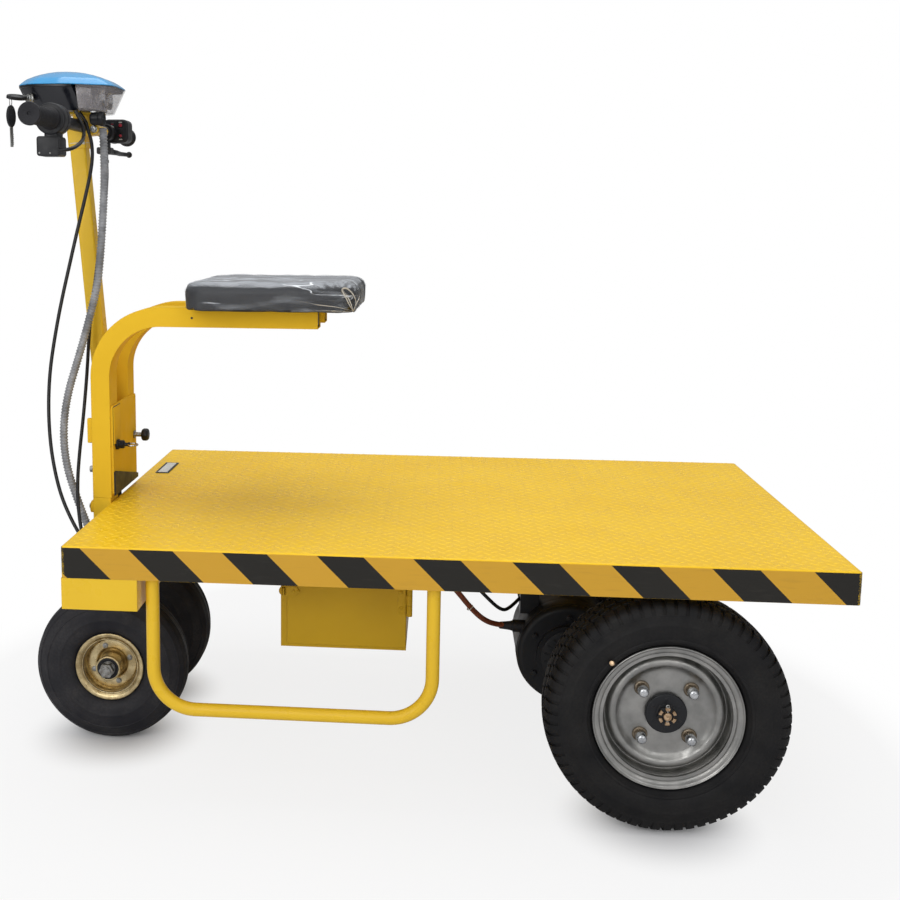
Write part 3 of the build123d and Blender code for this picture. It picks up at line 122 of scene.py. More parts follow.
@dataclass(frozen=True)
class Finish:
    """What every finish has: its name, its slot in the record, its colour and its gloss.

    edge_mm is the radius that the real edge is broken to, which catches a line of light. specular is
    below 0.5 on a porous or dusty skin, which mirrors less than its index says.
    """

    name: str
    slot: str
    colour: str
    roughness: float
    metallic: float = 0.0
    ior: float = 1.5
    edge_mm: float = 0.8
    specular: float = 0.5

    def material(self) -> bpy.types.Material:
        """Give the material, made on its first use."""
        made = bpy.data.materials.get(self.name)
        if made is None:
            made = bpy.data.materials.new(self.name)
            made.use_nodes = True
            tree = made.node_tree
            shader = tree.nodes["Principled BSDF"]
            shader.inputs["Base Color"].default_value = linear(self.colour)
            shader.inputs["Roughness"].default_value = self.roughness
            shader.inputs["Metallic"].default_value = self.metallic
            shader.inputs["IOR"].default_value = self.ior
            shader.inputs["Specular IOR Level"].default_value = self.specular
            where = add_node(tree, "ShaderNodeTexCoord").outputs["Object"]
            self.dress(tree, shader, where)
        return made

    def dress(self, tree: Tree, shader: Node, where: Socket) -> None:
        """Add the finish's own pattern and relief."""

    def mottle(self, tree: Tree, where: Socket, size_mm: float, low: float, high: float) -> Socket:
        """Give a cloudy value between two limits.

        Args:
            tree: The material's tree.
            where: The coordinates.
            size_mm: The size of one cloud.
            low: The value in the dark clouds.
            high: The value in the light clouds.

        Returns:
            The value's socket.
        """
        clouds = add_node(
            tree, "ShaderNodeTexNoise", {"Vector": where, "Scale": 1 / (size_mm * MM), "Detail": 4.0}
        )
        return self.ramp(tree, clouds.outputs["Fac"], 0.35, 0.65, low, high)

    def ramp(self, tree: Tree, value: Socket, start: float, end: float, low: float, high: float) -> Socket:
        """Turn a value that runs from start to end into one that runs from low to high, clamped."""
        limits = {"Value": value, "From Min": start, "From Max": end, "To Min": low, "To Max": high}
        return add_node(tree, "ShaderNodeMapRange", limits).outputs["Result"]

    def tint(self, tree: Tree, factor: Socket, under: object, over: str) -> Socket:
        """Mix a second colour over the first.

        Args:
            tree: The material's tree.
            factor: How much of the second shows.
            under: The first colour, as hex or as a socket.
            over: The second colour, as hex.

        Returns:
            The mixed colour's socket.
        """
        first = linear(under) if isinstance(under, str) else under
        mix = add_node(tree, "ShaderNodeMix", {0: factor, 6: first, 7: linear(over)}, data_type="RGBA")
        return mix.outputs[2]

    def relief(self, tree: Tree, shader: Node, height: Socket, depth_mm: float) -> None:
        """Give the surface its relief, over edges broken to their real radius.

        Args:
            tree: The material's tree.
            shader: The shader that gets the normal.
            height: The relief's height.
            depth_mm: How deep it is.
        """
        edge = add_node(tree, "ShaderNodeBevel", {"Radius": self.edge_mm * MM}, samples=BEVEL_SAMPLES)
        bump = add_node(
            tree, "ShaderNodeBump",
            {"Height": height, "Strength": 1.0, "Distance": depth_mm * MM, "Normal": edge.outputs["Normal"]}
        )
        tree.links.new(bump.outputs["Normal"], shader.inputs["Normal"])

    def worn_edges(self, tree: Tree, where: Socket, reach_mm: float) -> Socket:
        """Give a mask of the places where a corner has lost its coat.

        Args:
            tree: The material's tree.
            where: The coordinates.
            reach_mm: How far from the corner the wear reaches.

        Returns:
            The mask's socket.
        """
        soft = add_node(tree, "ShaderNodeBevel", {"Radius": reach_mm * MM}, samples=BEVEL_SAMPLES)
        true = add_node(tree, "ShaderNodeNewGeometry")
        match = add_node(
            tree, "ShaderNodeVectorMath", {0: soft.outputs["Normal"], 1: true.outputs["True Normal"]},
            operation="DOT_PRODUCT"
        )
        edge = self.ramp(tree, match.outputs["Value"], 0.985, 0.9, 0.0, 1.0)
        # Chips of a few millimetres, in clusters
        flakes = add_node(tree, "ShaderNodeTexNoise", {"Vector": where, "Scale": 1 / (9 * MM), "Detail": 6.0})
        picked = self.ramp(tree, flakes.outputs["Fac"], 0.63, 0.67, 0.0, 1.0)
        both = add_node(tree, "ShaderNodeMath", {0: edge, 1: picked}, operation="MULTIPLY")
        return both.outputs["Value"]


@dataclass(frozen=True)
class Enamel(Finish):
    """Alkyd enamel sprayed on steel: a glossy skin with orange peel, a warm drift of tone and chipped corners."""

    shade: str = "#c89a2e"
    primer: str = "#8a6f35"
    peel_mm: float = 3.0
    wear_mm: float = 1.2
    specular: float = 0.2

    def dress(self, tree: Tree, shader: Node, where: Socket) -> None:
        """Add the drift of tone, the chips and the orange peel."""
        drift = self.mottle(tree, where, 160, 0.0, 0.35)
        tone = self.tint(tree, drift, self.colour, self.shade)
        if self.wear_mm:
            tone = self.tint(tree, self.worn_edges(tree, where, self.wear_mm), tone, self.primer)
        tree.links.new(tone, shader.inputs["Base Color"])
        gloss = self.mottle(tree, where, 35, self.roughness * 0.85, self.roughness * 1.3)
        tree.links.new(gloss, shader.inputs["Roughness"])
        # Orange peel is about 1.5 mm across, drawn at 3 mm so that it shows
        self.relief(tree, shader, self.mottle(tree, where, self.peel_mm, 0.0, 1.0), 0.022)


@dataclass(frozen=True)
class Plated(Finish):
    """Metal with a plated, brushed or cast skin: a bright body with clouds of a second tint and fine scratches."""

    second: str = "#8c8d8a"
    cloud_mm: float = 22.0
    scratch_mm: float = 0.9
    depth_mm: float = 0.02
    metallic: float = 1.0
    edge_mm: float = 0.5

    def dress(self, tree: Tree, shader: Node, where: Socket) -> None:
        """Add the clouds of tint, the uneven polish and the scratches."""
        clouds = self.mottle(tree, where, self.cloud_mm, 0.0, 0.8)
        tree.links.new(self.tint(tree, clouds, self.colour, self.second), shader.inputs["Base Color"])
        polish = self.mottle(tree, where, self.cloud_mm / 3, self.roughness * 0.75, self.roughness * 1.35)
        tree.links.new(polish, shader.inputs["Roughness"])
        self.relief(tree, shader, self.mottle(tree, where, self.scratch_mm, 0.0, 1.0), self.depth_mm)


@dataclass(frozen=True)
class Moulded(Finish):
    """Injection-moulded plastic: an even body with a spark-eroded grain and a thumbed, uneven sheen."""

    second: str = "#000000"
    grain_mm: float = 1.2
    depth_mm: float = 0.03
    specular: float = 0.35
    drift_mm: float = 40.0
    drift: float = 0.25

    def dress(self, tree: Tree, shader: Node, where: Socket) -> None:
        """Add the sheen and the grain."""
        drift = self.mottle(tree, where, self.drift_mm, 0.0, self.drift)
        tree.links.new(self.tint(tree, drift, self.colour, self.second), shader.inputs["Base Color"])
        sheen = self.mottle(tree, where, 18, self.roughness * 0.8, self.roughness * 1.2)
        tree.links.new(sheen, shader.inputs["Roughness"])
        # The grain is about 0.3 mm across, coarsened so that it shows
        self.relief(tree, shader, self.mottle(tree, where, self.grain_mm, 0.0, 1.0), self.depth_mm)


@dataclass(frozen=True)
class Vulcanised(Finish):
    """Moulded rubber: a dull, nearly black skin with a bloom of pale dust in patches."""

    dust: str = "#5d5a54"
    dusting: float = 0.3
    grain_mm: float = 1.6
    specular: float = 0.22

    def dress(self, tree: Tree, shader: Node, where: Socket) -> None:
        """Add the dust and the rubber's fine skin."""
        patches = self.mottle(tree, where, 55, 0.0, self.dusting)
        specks = self.mottle(tree, where, 4, 0.4, 1.0)
        both = add_node(tree, "ShaderNodeMath", {0: patches, 1: specks}, operation="MULTIPLY")
        tree.links.new(
            self.tint(tree, both.outputs["Value"], self.colour, self.dust), shader.inputs["Base Color"]
        )
        dull = self.mottle(tree, where, 30, self.roughness * 0.88, self.roughness * 1.15)
        tree.links.new(dull, shader.inputs["Roughness"])
        self.relief(tree, shader, self.mottle(tree, where, self.grain_mm, 0.0, 1.0), 0.06)


@dataclass(frozen=True)
class Leatherette(Finish):
    """PVC-coated cloth with a pressed hide grain: small cells with soft creases between them."""

    cell_mm: float = 2.2
    # Colour of the creases: painted shade in the grain's valleys
    crease: str = "#17181a"

    def dress(self, tree: Tree, shader: Node, where: Socket) -> None:
        """Add the cells of the grain, and painted shade that darkens the creases between them."""
        # Hide cells are about 1.2 mm across, drawn at 2.2 mm so that they show
        cells = add_node(
            tree, "ShaderNodeTexVoronoi", {"Vector": where, "Scale": 1 / (self.cell_mm * MM), "Randomness": 1.0},
            feature="DISTANCE_TO_EDGE"
        )
        crease = self.ramp(tree, cells.outputs["Distance"], 0.0, 0.12, 0.0, 1.0)
        # Towards each cell's edge the colour darkens: painted shade in the creases
        inverse = add_node(tree, "ShaderNodeMath", {0: 1.0, 1: crease}, operation="SUBTRACT")
        tree.links.new(
            self.tint(tree, inverse.outputs["Value"], self.colour, self.crease), shader.inputs["Base Color"]
        )
        self.relief(tree, shader, crease, 0.12)


@dataclass(frozen=True)
class Clear(Finish):
    """Moulded clear plastic: the light passes through it, and its gloss and ripple show."""

    alpha: float = 0.3
    ripple_mm: float = 14.0
    ripple_depth: float = 0.5

    def dress(self, tree: Tree, shader: Node, where: Socket) -> None:
        """Let the light through and add the ripple of the sheet."""
        shader.inputs["Alpha"].default_value = self.alpha
        self.relief(tree, shader, self.mottle(tree, where, self.ripple_mm, 0.0, 1.0), self.ripple_depth)


@dataclass(frozen=True)
class Film(Finish):
    """Thin polythene wrap: clear on its sides, milkier on top as a painted sheen, with white lines along its
    creases as painted highlights.
    """

    crease_mm: float = 58.0
    patch: float = 0.3
    # Alpha on the sides, and on top, where the rise is a painted sheen
    side_alpha: float = 0.05
    top_alpha: float = 0.62
    # Colour of the painted highlights along the creases
    white: str = "#eef1f4"

    def dress(self, tree: Tree, shader: Node, where: Socket) -> None:
        """Draw long slanting creases with painted highlights, milky patches, and how much of the light the film
        stops, raised on top as a painted sheen.
        """
        # Pulled towards one corner, so the pattern is drawn out along a slanting line
        pulled = add_node(
            tree, "ShaderNodeMapping", {"Vector": where, "Rotation": (0.0, 0.38, 0.1), "Scale": (0.34, 1.1, 1.7)}
        ).outputs["Vector"]
        folds = add_node(
            tree, "ShaderNodeTexNoise",
            {"Vector": pulled, "Scale": 1 / (self.crease_mm * MM), "Detail": 1.5, "Distortion": 0.5}
        )
        off = add_node(tree, "ShaderNodeMath", {0: folds.outputs["Fac"], 1: 0.5}, operation="SUBTRACT")
        gap = add_node(tree, "ShaderNodeMath", {0: off.outputs["Value"]}, operation="ABSOLUTE").outputs["Value"]
        line = self.ramp(tree, gap, 0.0, 0.014, 1.0, 0.0)
        some = self.ramp(tree, self.mottle(tree, pulled, 40, 0.0, 1.0), 0.5, 0.72, 0.0, 0.8)
        crease = add_node(tree, "ShaderNodeMath", {0: line, 1: some}, operation="MULTIPLY").outputs["Value"]
        # White along the creases: painted highlights
        tree.links.new(self.tint(tree, crease, self.colour, self.white), shader.inputs["Base Color"])
        facing = add_node(tree, "ShaderNodeNewGeometry").outputs["Normal"]
        level = add_node(tree, "ShaderNodeSeparateXYZ", {0: facing}).outputs["Z"]
        # Faces that look up take more of the pale film: a painted sheen on the top
        top_sheen = self.ramp(tree, level, 0.55, 0.97, self.side_alpha, self.top_alpha)
        patches = self.ramp(tree, self.mottle(tree, pulled, 75, 0.0, 1.0), 0.5, 0.8, 0.0, self.patch)
        shares = add_node(tree, "ShaderNodeMath", {0: top_sheen, 1: patches}, operation="ADD").outputs["Value"]
        whole = add_node(tree, "ShaderNodeMath", {0: shares, 1: crease}, operation="ADD", use_clamp=True)
        tree.links.new(whole.outputs["Value"], shader.inputs["Alpha"])
        self.relief(tree, shader, gap, 8.0)


@dataclass(frozen=True)
class Tape(Finish):
    """Printed PVC tape: a smooth satin film with faint scuffs along the deck's edge."""

    scuff: str = "#8d7a50"

    def dress(self, tree: Tree, shader: Node, where: Socket) -> None:
        """Add scuffs that run along the tape, and its slight waviness."""
        along = add_node(
            tree, "ShaderNodeVectorMath", {0: where, 1: (1.0, 1.0, 9.0)}, operation="MULTIPLY"
        ).outputs["Vector"]
        scuffs = add_node(tree, "ShaderNodeTexNoise", {"Vector": along, "Scale": 1 / (45 * MM), "Detail": 8.0})
        worn = self.ramp(tree, scuffs.outputs["Fac"], 0.56, 0.75, 0.0, 0.22)
        tree.links.new(self.tint(tree, worn, self.colour, self.scuff), shader.inputs["Base Color"])
        self.relief(tree, shader, self.mottle(tree, where, 25, 0.0, 1.0), 0.12)


@dataclass(frozen=True)
class Plywood(Finish):
    """Birch plywood, sawn and left bare: pale long grain on its face and darker glue lines on its edge."""

    ring: str = "#8a6a42"

    def dress(self, tree: Tree, shader: Node, where: Socket) -> None:
        """Add the grain, which runs along X."""
        grain = add_node(
            tree, "ShaderNodeVectorMath", {0: where, 1: (0.12, 1.0, 8.0)}, operation="MULTIPLY"
        ).outputs["Vector"]
        # Growth rings are 1 to 3 mm apart on the face
        rings = self.mottle(tree, grain, 3.0, 0.0, 0.8)
        tree.links.new(self.tint(tree, rings, self.colour, self.ring), shader.inputs["Base Color"])
        self.relief(tree, shader, rings, 0.08)


# Sprayed enamel on folded sheet and box tube, which is glossy and warm
YELLOW = Enamel("enamel_yellow_sprayed", "yellow_paint", "#e0b82f", 0.3, shade="#cfa321", edge_mm=1.4)
# The same enamel on the seat's mast, gone satin where hands and knees rub it
MAST_YELLOW = Enamel(
    "enamel_yellow_satin", "yellow_paint", "#e2b730", 0.6, shade="#cfa122", edge_mm=1.6, specular=0.03
)
# The same enamel laid thicker on the chequer plate, so that its gloss is deeper
DECK_YELLOW = Enamel("enamel_yellow_deck", "yellow_paint", "#ebbf26", 0.3, shade="#dfb01c", edge_mm=1.6)
# The same enamel on the raised lugs, a little smoother, and set a lighter yellow as a painted highlight, so that
# they catch the light
LUG_HIGHLIGHT_YELLOW = Enamel("enamel_yellow_lug_highlight", "yellow_paint", "#efc534", 0.28, shade="#e6b825", wear_mm=0)
# The same enamel on folded box sheet, a little flatter, and set darker and greener than the other yellows
BOX_YELLOW = Enamel("enamel_yellow_darker_box", "yellow_paint", "#b89316", 0.36, shade="#a07d10", edge_mm=1.0)
# Satin black enamel on steel plate
BLACK_STEEL = Enamel(
    "enamel_black_satin", "black_steel", "#18191c", 0.42, shade="#232426", primer="#4c433c", specular=0.25
)
# Black enamel over rough cast iron, which stays dull and dusty
CAST_IRON = Enamel(
    "enamel_black_on_cast_iron", "black_steel", "#161415", 0.55, shade="#2c241d", primer="#5a3f2c", peel_mm=4.5,
    edge_mm=1.5, specular=0.25
)
# Zinc-plated pressed steel: pale grey with soft clouds
RIM_ZINC = Plated("zinc_plated_pressed_steel", "silver_paint", "#9c9b98", 0.4, second="#81817f", cloud_mm=34)
# Yellow chromate over zinc, straw to brass with darker clouds
GOLD_ZINC = Plated("zinc_yellow_chromate", "yellow_zinc", "#d4c297", 0.34, second="#98845e", cloud_mm=16)
# Bright zinc on bolts and washers
BOLT_ZINC = Plated("zinc_bright_bolts", "bare_steel", "#a9abab", 0.36, second="#77746d", cloud_mm=7)
# Zinc gone dull and brown round the wheel nuts
OLD_ZINC = Plated("zinc_dulled_brown", "bare_steel", "#8d8171", 0.45, second="#5d5243", cloud_mm=6)
# Bare turned steel, slightly stained
TURNED_STEEL = Plated("steel_turned", "bare_steel", "#a3a3a1", 0.32, second="#6b665e", cloud_mm=9)
# Bright chrome on the lug nuts
CHROME = Plated("chrome_polished", "chrome", "#c6c8ca", 0.26, second="#9b9da0", cloud_mm=12, depth_mm=0.006)
# Aluminium vapour coat inside the lamps, with clouds from near white to dark grey: painted reflections of its
# bright and dark facets
LAMP_SILVER = Plated(
    "aluminium_vapour_painted_reflections", "chrome", "#f1eeee", 0.3, second="#5a575a", cloud_mm=22, depth_mm=0.004
)
# Bronze-coloured passivate of the axle nut and the tyre valves
BRASS = Plated("brass_turned", "yellow_zinc", "#c4a98a", 0.38, second="#8d7358", cloud_mm=6)
# Road rubber, dull and faintly dusty
ROAD_RUBBER = Vulcanised("rubber_road_tyre", "tyre_rubber", "#0c0c0e", 0.62, dust="#34312d", dusting=0.25)
# Softer industrial rubber of the small wheels, greyer with age
WHEEL_RUBBER = Vulcanised("rubber_small_tyre", "tyre_rubber", "#1c1c21", 0.6, dust="#4c4a49", dusting=0.3)
# Soft rubber of the grips and seals
GRIP_RUBBER = Vulcanised("rubber_grip", "soft_rubber", "#1f1f23", 0.55, dust="#4a4947", dusting=0.2, grain_mm=1.0)
# Glass-filled nylon of the levers and boxes
BLACK_NYLON = Moulded("nylon_black_moulded", "black_plastic", "#15161a", 0.42, second="#0b0c0e")
# Gloss ABS of the pod's lower half
POD_BLACK = Moulded(
    "abs_black_gloss", "black_plastic", "#11131a", 0.22, second="#0a0b10", grain_mm=6, depth_mm=0.02, specular=0.5
)
# Gloss ABS of the pod's cover
POD_BLUE = Moulded(
    "abs_blue_gloss", "blue_plastic", "#3a99d2", 0.16, second="#2a80ba", grain_mm=7, depth_mm=0.02, specular=0.5
)
# Red ABS of the push buttons
BUTTON_RED = Moulded("abs_red_button", "black_plastic", "#9c2433", 0.3, second="#741620")
# Pale ABS of the switch marks and the bare plate's face
PLATE_PALE = Moulded("abs_pale_satin", "grey_plastic", "#d2d2cd", 0.4, second="#b4b4ad")
# Polypropylene conduit, corrugated and grey
CONDUIT_GREY = Moulded(
    "polypropylene_conduit", "grey_plastic", "#949598", 0.45, second="#5e5f62", grain_mm=2, drift_mm=26, drift=0.8
)
# PVC sheath of the control cables, smooth black
CABLE_BLACK = Moulded("pvc_cable_black", "soft_rubber", "#131315", 0.36, second="#09090b", grain_mm=4)
# Sleeving over the motor's leads, brown with an orange cast
LEAD_BROWN = Moulded("pvc_lead_brown", "soft_rubber", "#7a3d22", 0.4, second="#4b2416", grain_mm=4)
# Natural nylon of the cable ties
TIE_NYLON = Moulded("nylon_natural", "grey_plastic", "#cfcabb", 0.35, second="#b3ae9e")
# Battery case in moulded polypropylene
CASE_GREY = Moulded("polypropylene_case", "battery_case", "#2f3238", 0.45, second="#1f2126", grain_mm=2.5)
# PVC-coated seat cloth with a pressed hide grain
SEAT_VINYL = Leatherette("pvc_leatherette_pressed", "leatherette", "#1a1b1f", 0.42, edge_mm=1.5, specular=0.4)
# Thin film over the seat, seen by its gloss, a painted sheen on its top and painted highlights along its creases
SEAT_FILM = Film("polythene_film_wrap", "clear_lens", "#bcc1c8", 0.16, ior=1.51)
# The same film bunched at one corner, many layers deep
FILM_BUNCH = Film("polythene_film_bunched", "clear_lens", "#c9c2b4", 0.2, ior=1.51, side_alpha=0.55, top_alpha=0.7)
# Moulded lens, clear with a faint grey cast
LENS_CLEAR = Clear(
    "polycarbonate_lens_moulded", "clear_lens", "#a39fa3", 0.07, alpha=0.26, ior=1.585, ripple_mm=5,
    ripple_depth=0.08
)
# Printed tape in its two colours
TAPE_YELLOW = Tape("pvc_tape_yellow_printed", "yellow_paint", "#c29325", 0.42, scuff="#9a7428", specular=0.35)
TAPE_BLACK = Tape("pvc_tape_black_printed", "black_steel", "#1d1b17", 0.45, scuff="#3b3832", specular=0.25)
# Ply of the seat board, stained black, so that only its grain and cut plies show
BOARD_PLY = Plywood("plywood_birch_stained", "plywood", "#2a2725", 0.6, ring="#171514")


# --- Mesh making ---


def stand(origin: Sequence[float], z: Sequence[float] = (0, 0, 1), x: Sequence[float] = (1, 0, 0)) -> Matrix:
    """Give a place from its origin and two of its directions.

    Args:
        origin: Where it is, in millimetres.
        z: The way that its Z points.
        x: Roughly the way that its X points.

    Returns:
        The place as a matrix.
    """
    up = Vector(z).normalized()
    across = Vector(x)
    across = (across - up * up.dot(across)).normalized()
    place = Matrix((across, up.cross(across), up)).transposed().to_4x4()
    place.translation = Vector(origin)
    return place


def outboard(x: float, y: float, z: float, side: Side) -> Matrix:
    """Give a place on a wheel, with Z outboard and Y up."""
    return stand((x, side.value * y, z), (0, side.value, 0), (-side.value, 0, 0))


def eased(profile: Sequence[Sequence[float]], radius: float, steps: int = 3) -> list[tuple[float, ...]]:
    """Round the inner corners of an open profile.

    Args:
        profile: The profile's points.
        radius: How far from each corner the rounding starts, at most.
        steps: How many faces each corner gets.

    Returns:
        The rounded profile's points.
    """
    points = [Vector(p) for p in profile]
    out = [points[0]]
    for before, here, after in zip(points, points[1:], points[2:]):
        reach = min(radius, (here - before).length * 0.45, (after - here).length * 0.45)
        start = here + (before - here).normalized() * reach
        end = here + (after - here).normalized() * reach
        for i in range(steps + 1):
            t = i / steps
            out.append(start * (1 - t) ** 2 + here * 2 * t * (1 - t) + end * t**2)
    out.append(points[-1])
    return [tuple(p) for p in out]


def rounded_box(length: float, width: float, radius: float, steps: int = 5) -> list[tuple[float, float]]:
    """Give a rounded rectangle's outline round the origin."""
    out = []
    for cx, cy, start in ((1, 1, 0), (-1, 1, 90), (-1, -1, 180), (1, -1, 270)):
        for i in range(steps + 1):
            a = radians(start + 90 * i / steps)
            out.append(
                (cx * (length / 2 - radius) + radius * cos(a), cy * (width / 2 - radius) + radius * sin(a))
            )
    return out


def circle(radius: float, count: int = 24, turn: float = 0.0) -> list[tuple[float, float]]:
    """Give the corners of a regular polygon, such as a hexagon or a fine circle."""
    return [
        (radius * cos(turn + 2 * pi * i / count), radius * sin(turn + 2 * pi * i / count)) for i in range(count)
    ]


def angles(count: int) -> list[float]:
    """Give evenly spaced angles round a full turn."""
    return [2 * pi * i / count for i in range(count)]


def moved(place: Matrix, x: float, y: float, z: float) -> Matrix:
    """Give a place moved along its own directions."""
    return place @ Matrix.Translation((x, y, z))


def clocked(place: Matrix, radius: float, degrees: float, height: float) -> Matrix:
    """Give a place moved out along an angle and up, such as one bolt of a bolt circle."""
    a = radians(degrees)
    return moved(place, radius * cos(a), radius * sin(a), height)


class Piece:
    """Points and faces in millimetres, gathered into one mesh."""

    def __init__(self) -> None:
        """Start with nothing."""
        self.points: list[Vector] = []
        self.faces: list[tuple[int, ...]] = []
        self.marks: list[int] = []

    def add(
        self, points: Sequence[Sequence[float]], faces: Sequence[Sequence[int]], place: Matrix | None = None,
        mark: int = 0
    ) -> "Piece":
        """Add points and faces.

        Args:
            points: The points, in the place's own frame.
            faces: Each face's point numbers.
            place: Where they go.
            mark: Which of the piece's finishes they take.

        Returns:
            The piece itself.
        """
        first = len(self.points)
        place = place or Matrix.Identity(4)
        self.points.extend(place @ Vector(p) for p in points)
        self.faces.extend(tuple(first + i for i in face) for face in faces)
        self.marks.extend([mark] * len(faces))
        return self

    def prism(
        self, outline: Sequence[Sequence[float]], depth: float, place: Matrix, mark: int = 0, draw: float = 1.0,
        ease: float = 0.0
    ) -> "Piece":
        """Add an outline drawn out along Z, with a softened far edge.

        Args:
            outline: The outline in X and Y.
            depth: How far it is drawn out.
            place: Where it goes.
            mark: Which finish it takes.
            draw: The size of the far end over that of the near one.
            ease: The radius of the far edge.

        Returns:
            The piece itself.
        """
        reach = max(max(abs(x), abs(y)) for x, y in outline)
        ease = min(ease, abs(depth) * 0.9, reach * 0.9)
        way = 1 if depth > 0 else -1
        rings = [(0.0, 1.0)]
        if ease:
            for i in range(4):
                a = pi / 2 * i / 3
                low = depth - way * ease * (1 - sin(a))
                rings.append((low, draw * (1 - ease / reach * (1 - cos(a)))))
        else:
            rings.append((depth, draw))
        return self.loft([[(x * s, y * s, z) for x, y in outline] for z, s in rings], place, mark)

    def loft(
        self, loops: Sequence[Sequence[Sequence[float]]], place: Matrix | None = None, mark: int = 0
    ) -> "Piece":
        """Join loops of equally many points with faces and close both ends.

        Args:
            loops: The loops, from the first end to the last.
            place: Where they go.
            mark: Which finish they take.

        Returns:
            The piece itself.
        """
        count = len(loops[0])
        faces = [
            (k * count + i, k * count + (i + 1) % count, (k + 1) * count + (i + 1) % count, (k + 1) * count + i)
            for k in range(len(loops) - 1)
            for i in range(count)
        ]
        faces += [tuple(reversed(range(count))), tuple(range((len(loops) - 1) * count, len(loops) * count))]
        return self.add([p for loop in loops for p in loop], faces, place, mark)

    def lathe(
        self, profile: Sequence[Sequence[float]], place: Matrix, mark: int = 0, steps: int = 96,
        span: tuple[float, float] | None = None
    ) -> "Piece":
        """Turn a profile of radius and height about Z, all the way or over a span.

        Args:
            profile: Radius and height pairs.
            place: Where it goes.
            mark: Which finish it takes.
            steps: How many faces it has round it.
            span: The first and last angle in degrees, for a closed profile over a part turn.

        Returns:
            The piece itself.
        """
        count = len(profile)
        start, end = (radians(a) for a in (span or (0, 360)))
        turns = steps if span is None else steps + 1
        points = []
        for i in range(turns):
            a = start + (end - start) * i / steps
            points.extend((r * cos(a), r * sin(a), h) for r, h in profile)
        faces = []
        for i in range(steps):
            j = (i + 1) % turns
            for k in range(count if span else count - 1):
                m = (k + 1) % count
                faces.append((i * count + k, j * count + k, j * count + m, i * count + m))
        if span:
            faces += [tuple(range(count)), tuple(reversed(range(steps * count, (steps + 1) * count)))]
        return self.add(points, faces, place, mark)

    def tube(
        self, path: Sequence[Sequence[float]], radii: float | Sequence[float], mark: int = 0, sides: int = 14,
        ring: bool = False
    ) -> "Piece":
        """Sweep a round section along a path.

        Args:
            path: The middle of the tube.
            radii: One radius, or one for each point.
            mark: Which finish it takes.
            sides: How many faces it has round it.
            ring: Whether the path closes on itself.

        Returns:
            The piece itself.
        """
        line = [Vector(p) for p in path]
        count = len(line)
        sizes = [radii] * count if isinstance(radii, (int, float)) else list(radii)
        points: list[Vector] = []
        across = None
        for i, here in enumerate(line):
            ahead = line[(i + 1) % count] if ring or i < count - 1 else here
            behind = line[i - 1] if ring or i else here
            way = (ahead - behind).normalized()
            if across is None:
                across = way.orthogonal().normalized()
            across = (across - way * way.dot(across)).normalized()
            other = way.cross(across)
            for k in range(sides):
                a = 2 * pi * k / sides
                points.append(here + (across * cos(a) + other * sin(a)) * sizes[i])
        faces = []
        for i in range(count if ring else count - 1):
            j = (i + 1) % count
            for k in range(sides):
                m = (k + 1) % sides
                faces.append((i * sides + k, i * sides + m, j * sides + m, j * sides + k))
        if not ring:
            faces += [tuple(reversed(range(sides))), tuple(range((count - 1) * sides, count * sides))]
        return self.add(points, faces, None, mark)

    def weld(self, path: Sequence[Sequence[float]], radius: float, mark: int = 0) -> "Piece":
        """Lay a weld bead along straight runs, with the ripple of its puddle."""
        fine: list[Vector] = []
        for a, b in zip(path, path[1:]):
            start, end = Vector(a), Vector(b)
            steps = max(2, ceil((end - start).length / (radius * 0.55)))
            fine.extend(start.lerp(end, i / steps) for i in range(steps))
        fine.append(Vector(path[-1]))
        sizes = [radius * (0.86 + 0.16 * abs(sin(i * 1.25)) + 0.05 * sin(i * 0.37)) for i in range(len(fine))]
        return self.tube(fine, sizes, mark, 8)

    def bolt(self, place: Matrix, across: float, height: float, mark: int = 0) -> "Piece":
        """Set a washer and a chamfered hexagon head at a place, with Z out of the surface."""
        flat = across / 2
        self.lathe(eased([(0, 0), (flat * 1.35, 0), (flat * 1.35, 1.6), (0, 1.6)], 0.4, 2), place, mark, 28)
        lifted = moved(place, 0, 0, 1.6)
        return self.prism(circle(flat / cos(pi / 6), 6), height, lifted, mark, ease=height * 0.16)

    def screw(self, place: Matrix, radius: float, mark: int = 0) -> "Piece":
        """Set a cross-head screw at a place, as a low dome with two crossed slots' rim."""
        dome = [
            (radius, 0), (radius, 0.25), (radius * 0.8, radius * 0.38), (radius * 0.4, radius * 0.52),
            (0, radius * 0.55)
        ]
        self.lathe(dome, place, mark, 20)
        for turn in (0.4, 0.4 + pi / 2):
            bar = place @ Matrix.Rotation(turn, 4, "Z") @ Matrix.Translation((0, 0, radius * 0.45))
            self.prism(rounded_box(radius * 1.1, radius * 0.24, radius * 0.1, 2), radius * 0.16, bar, mark)
        return self

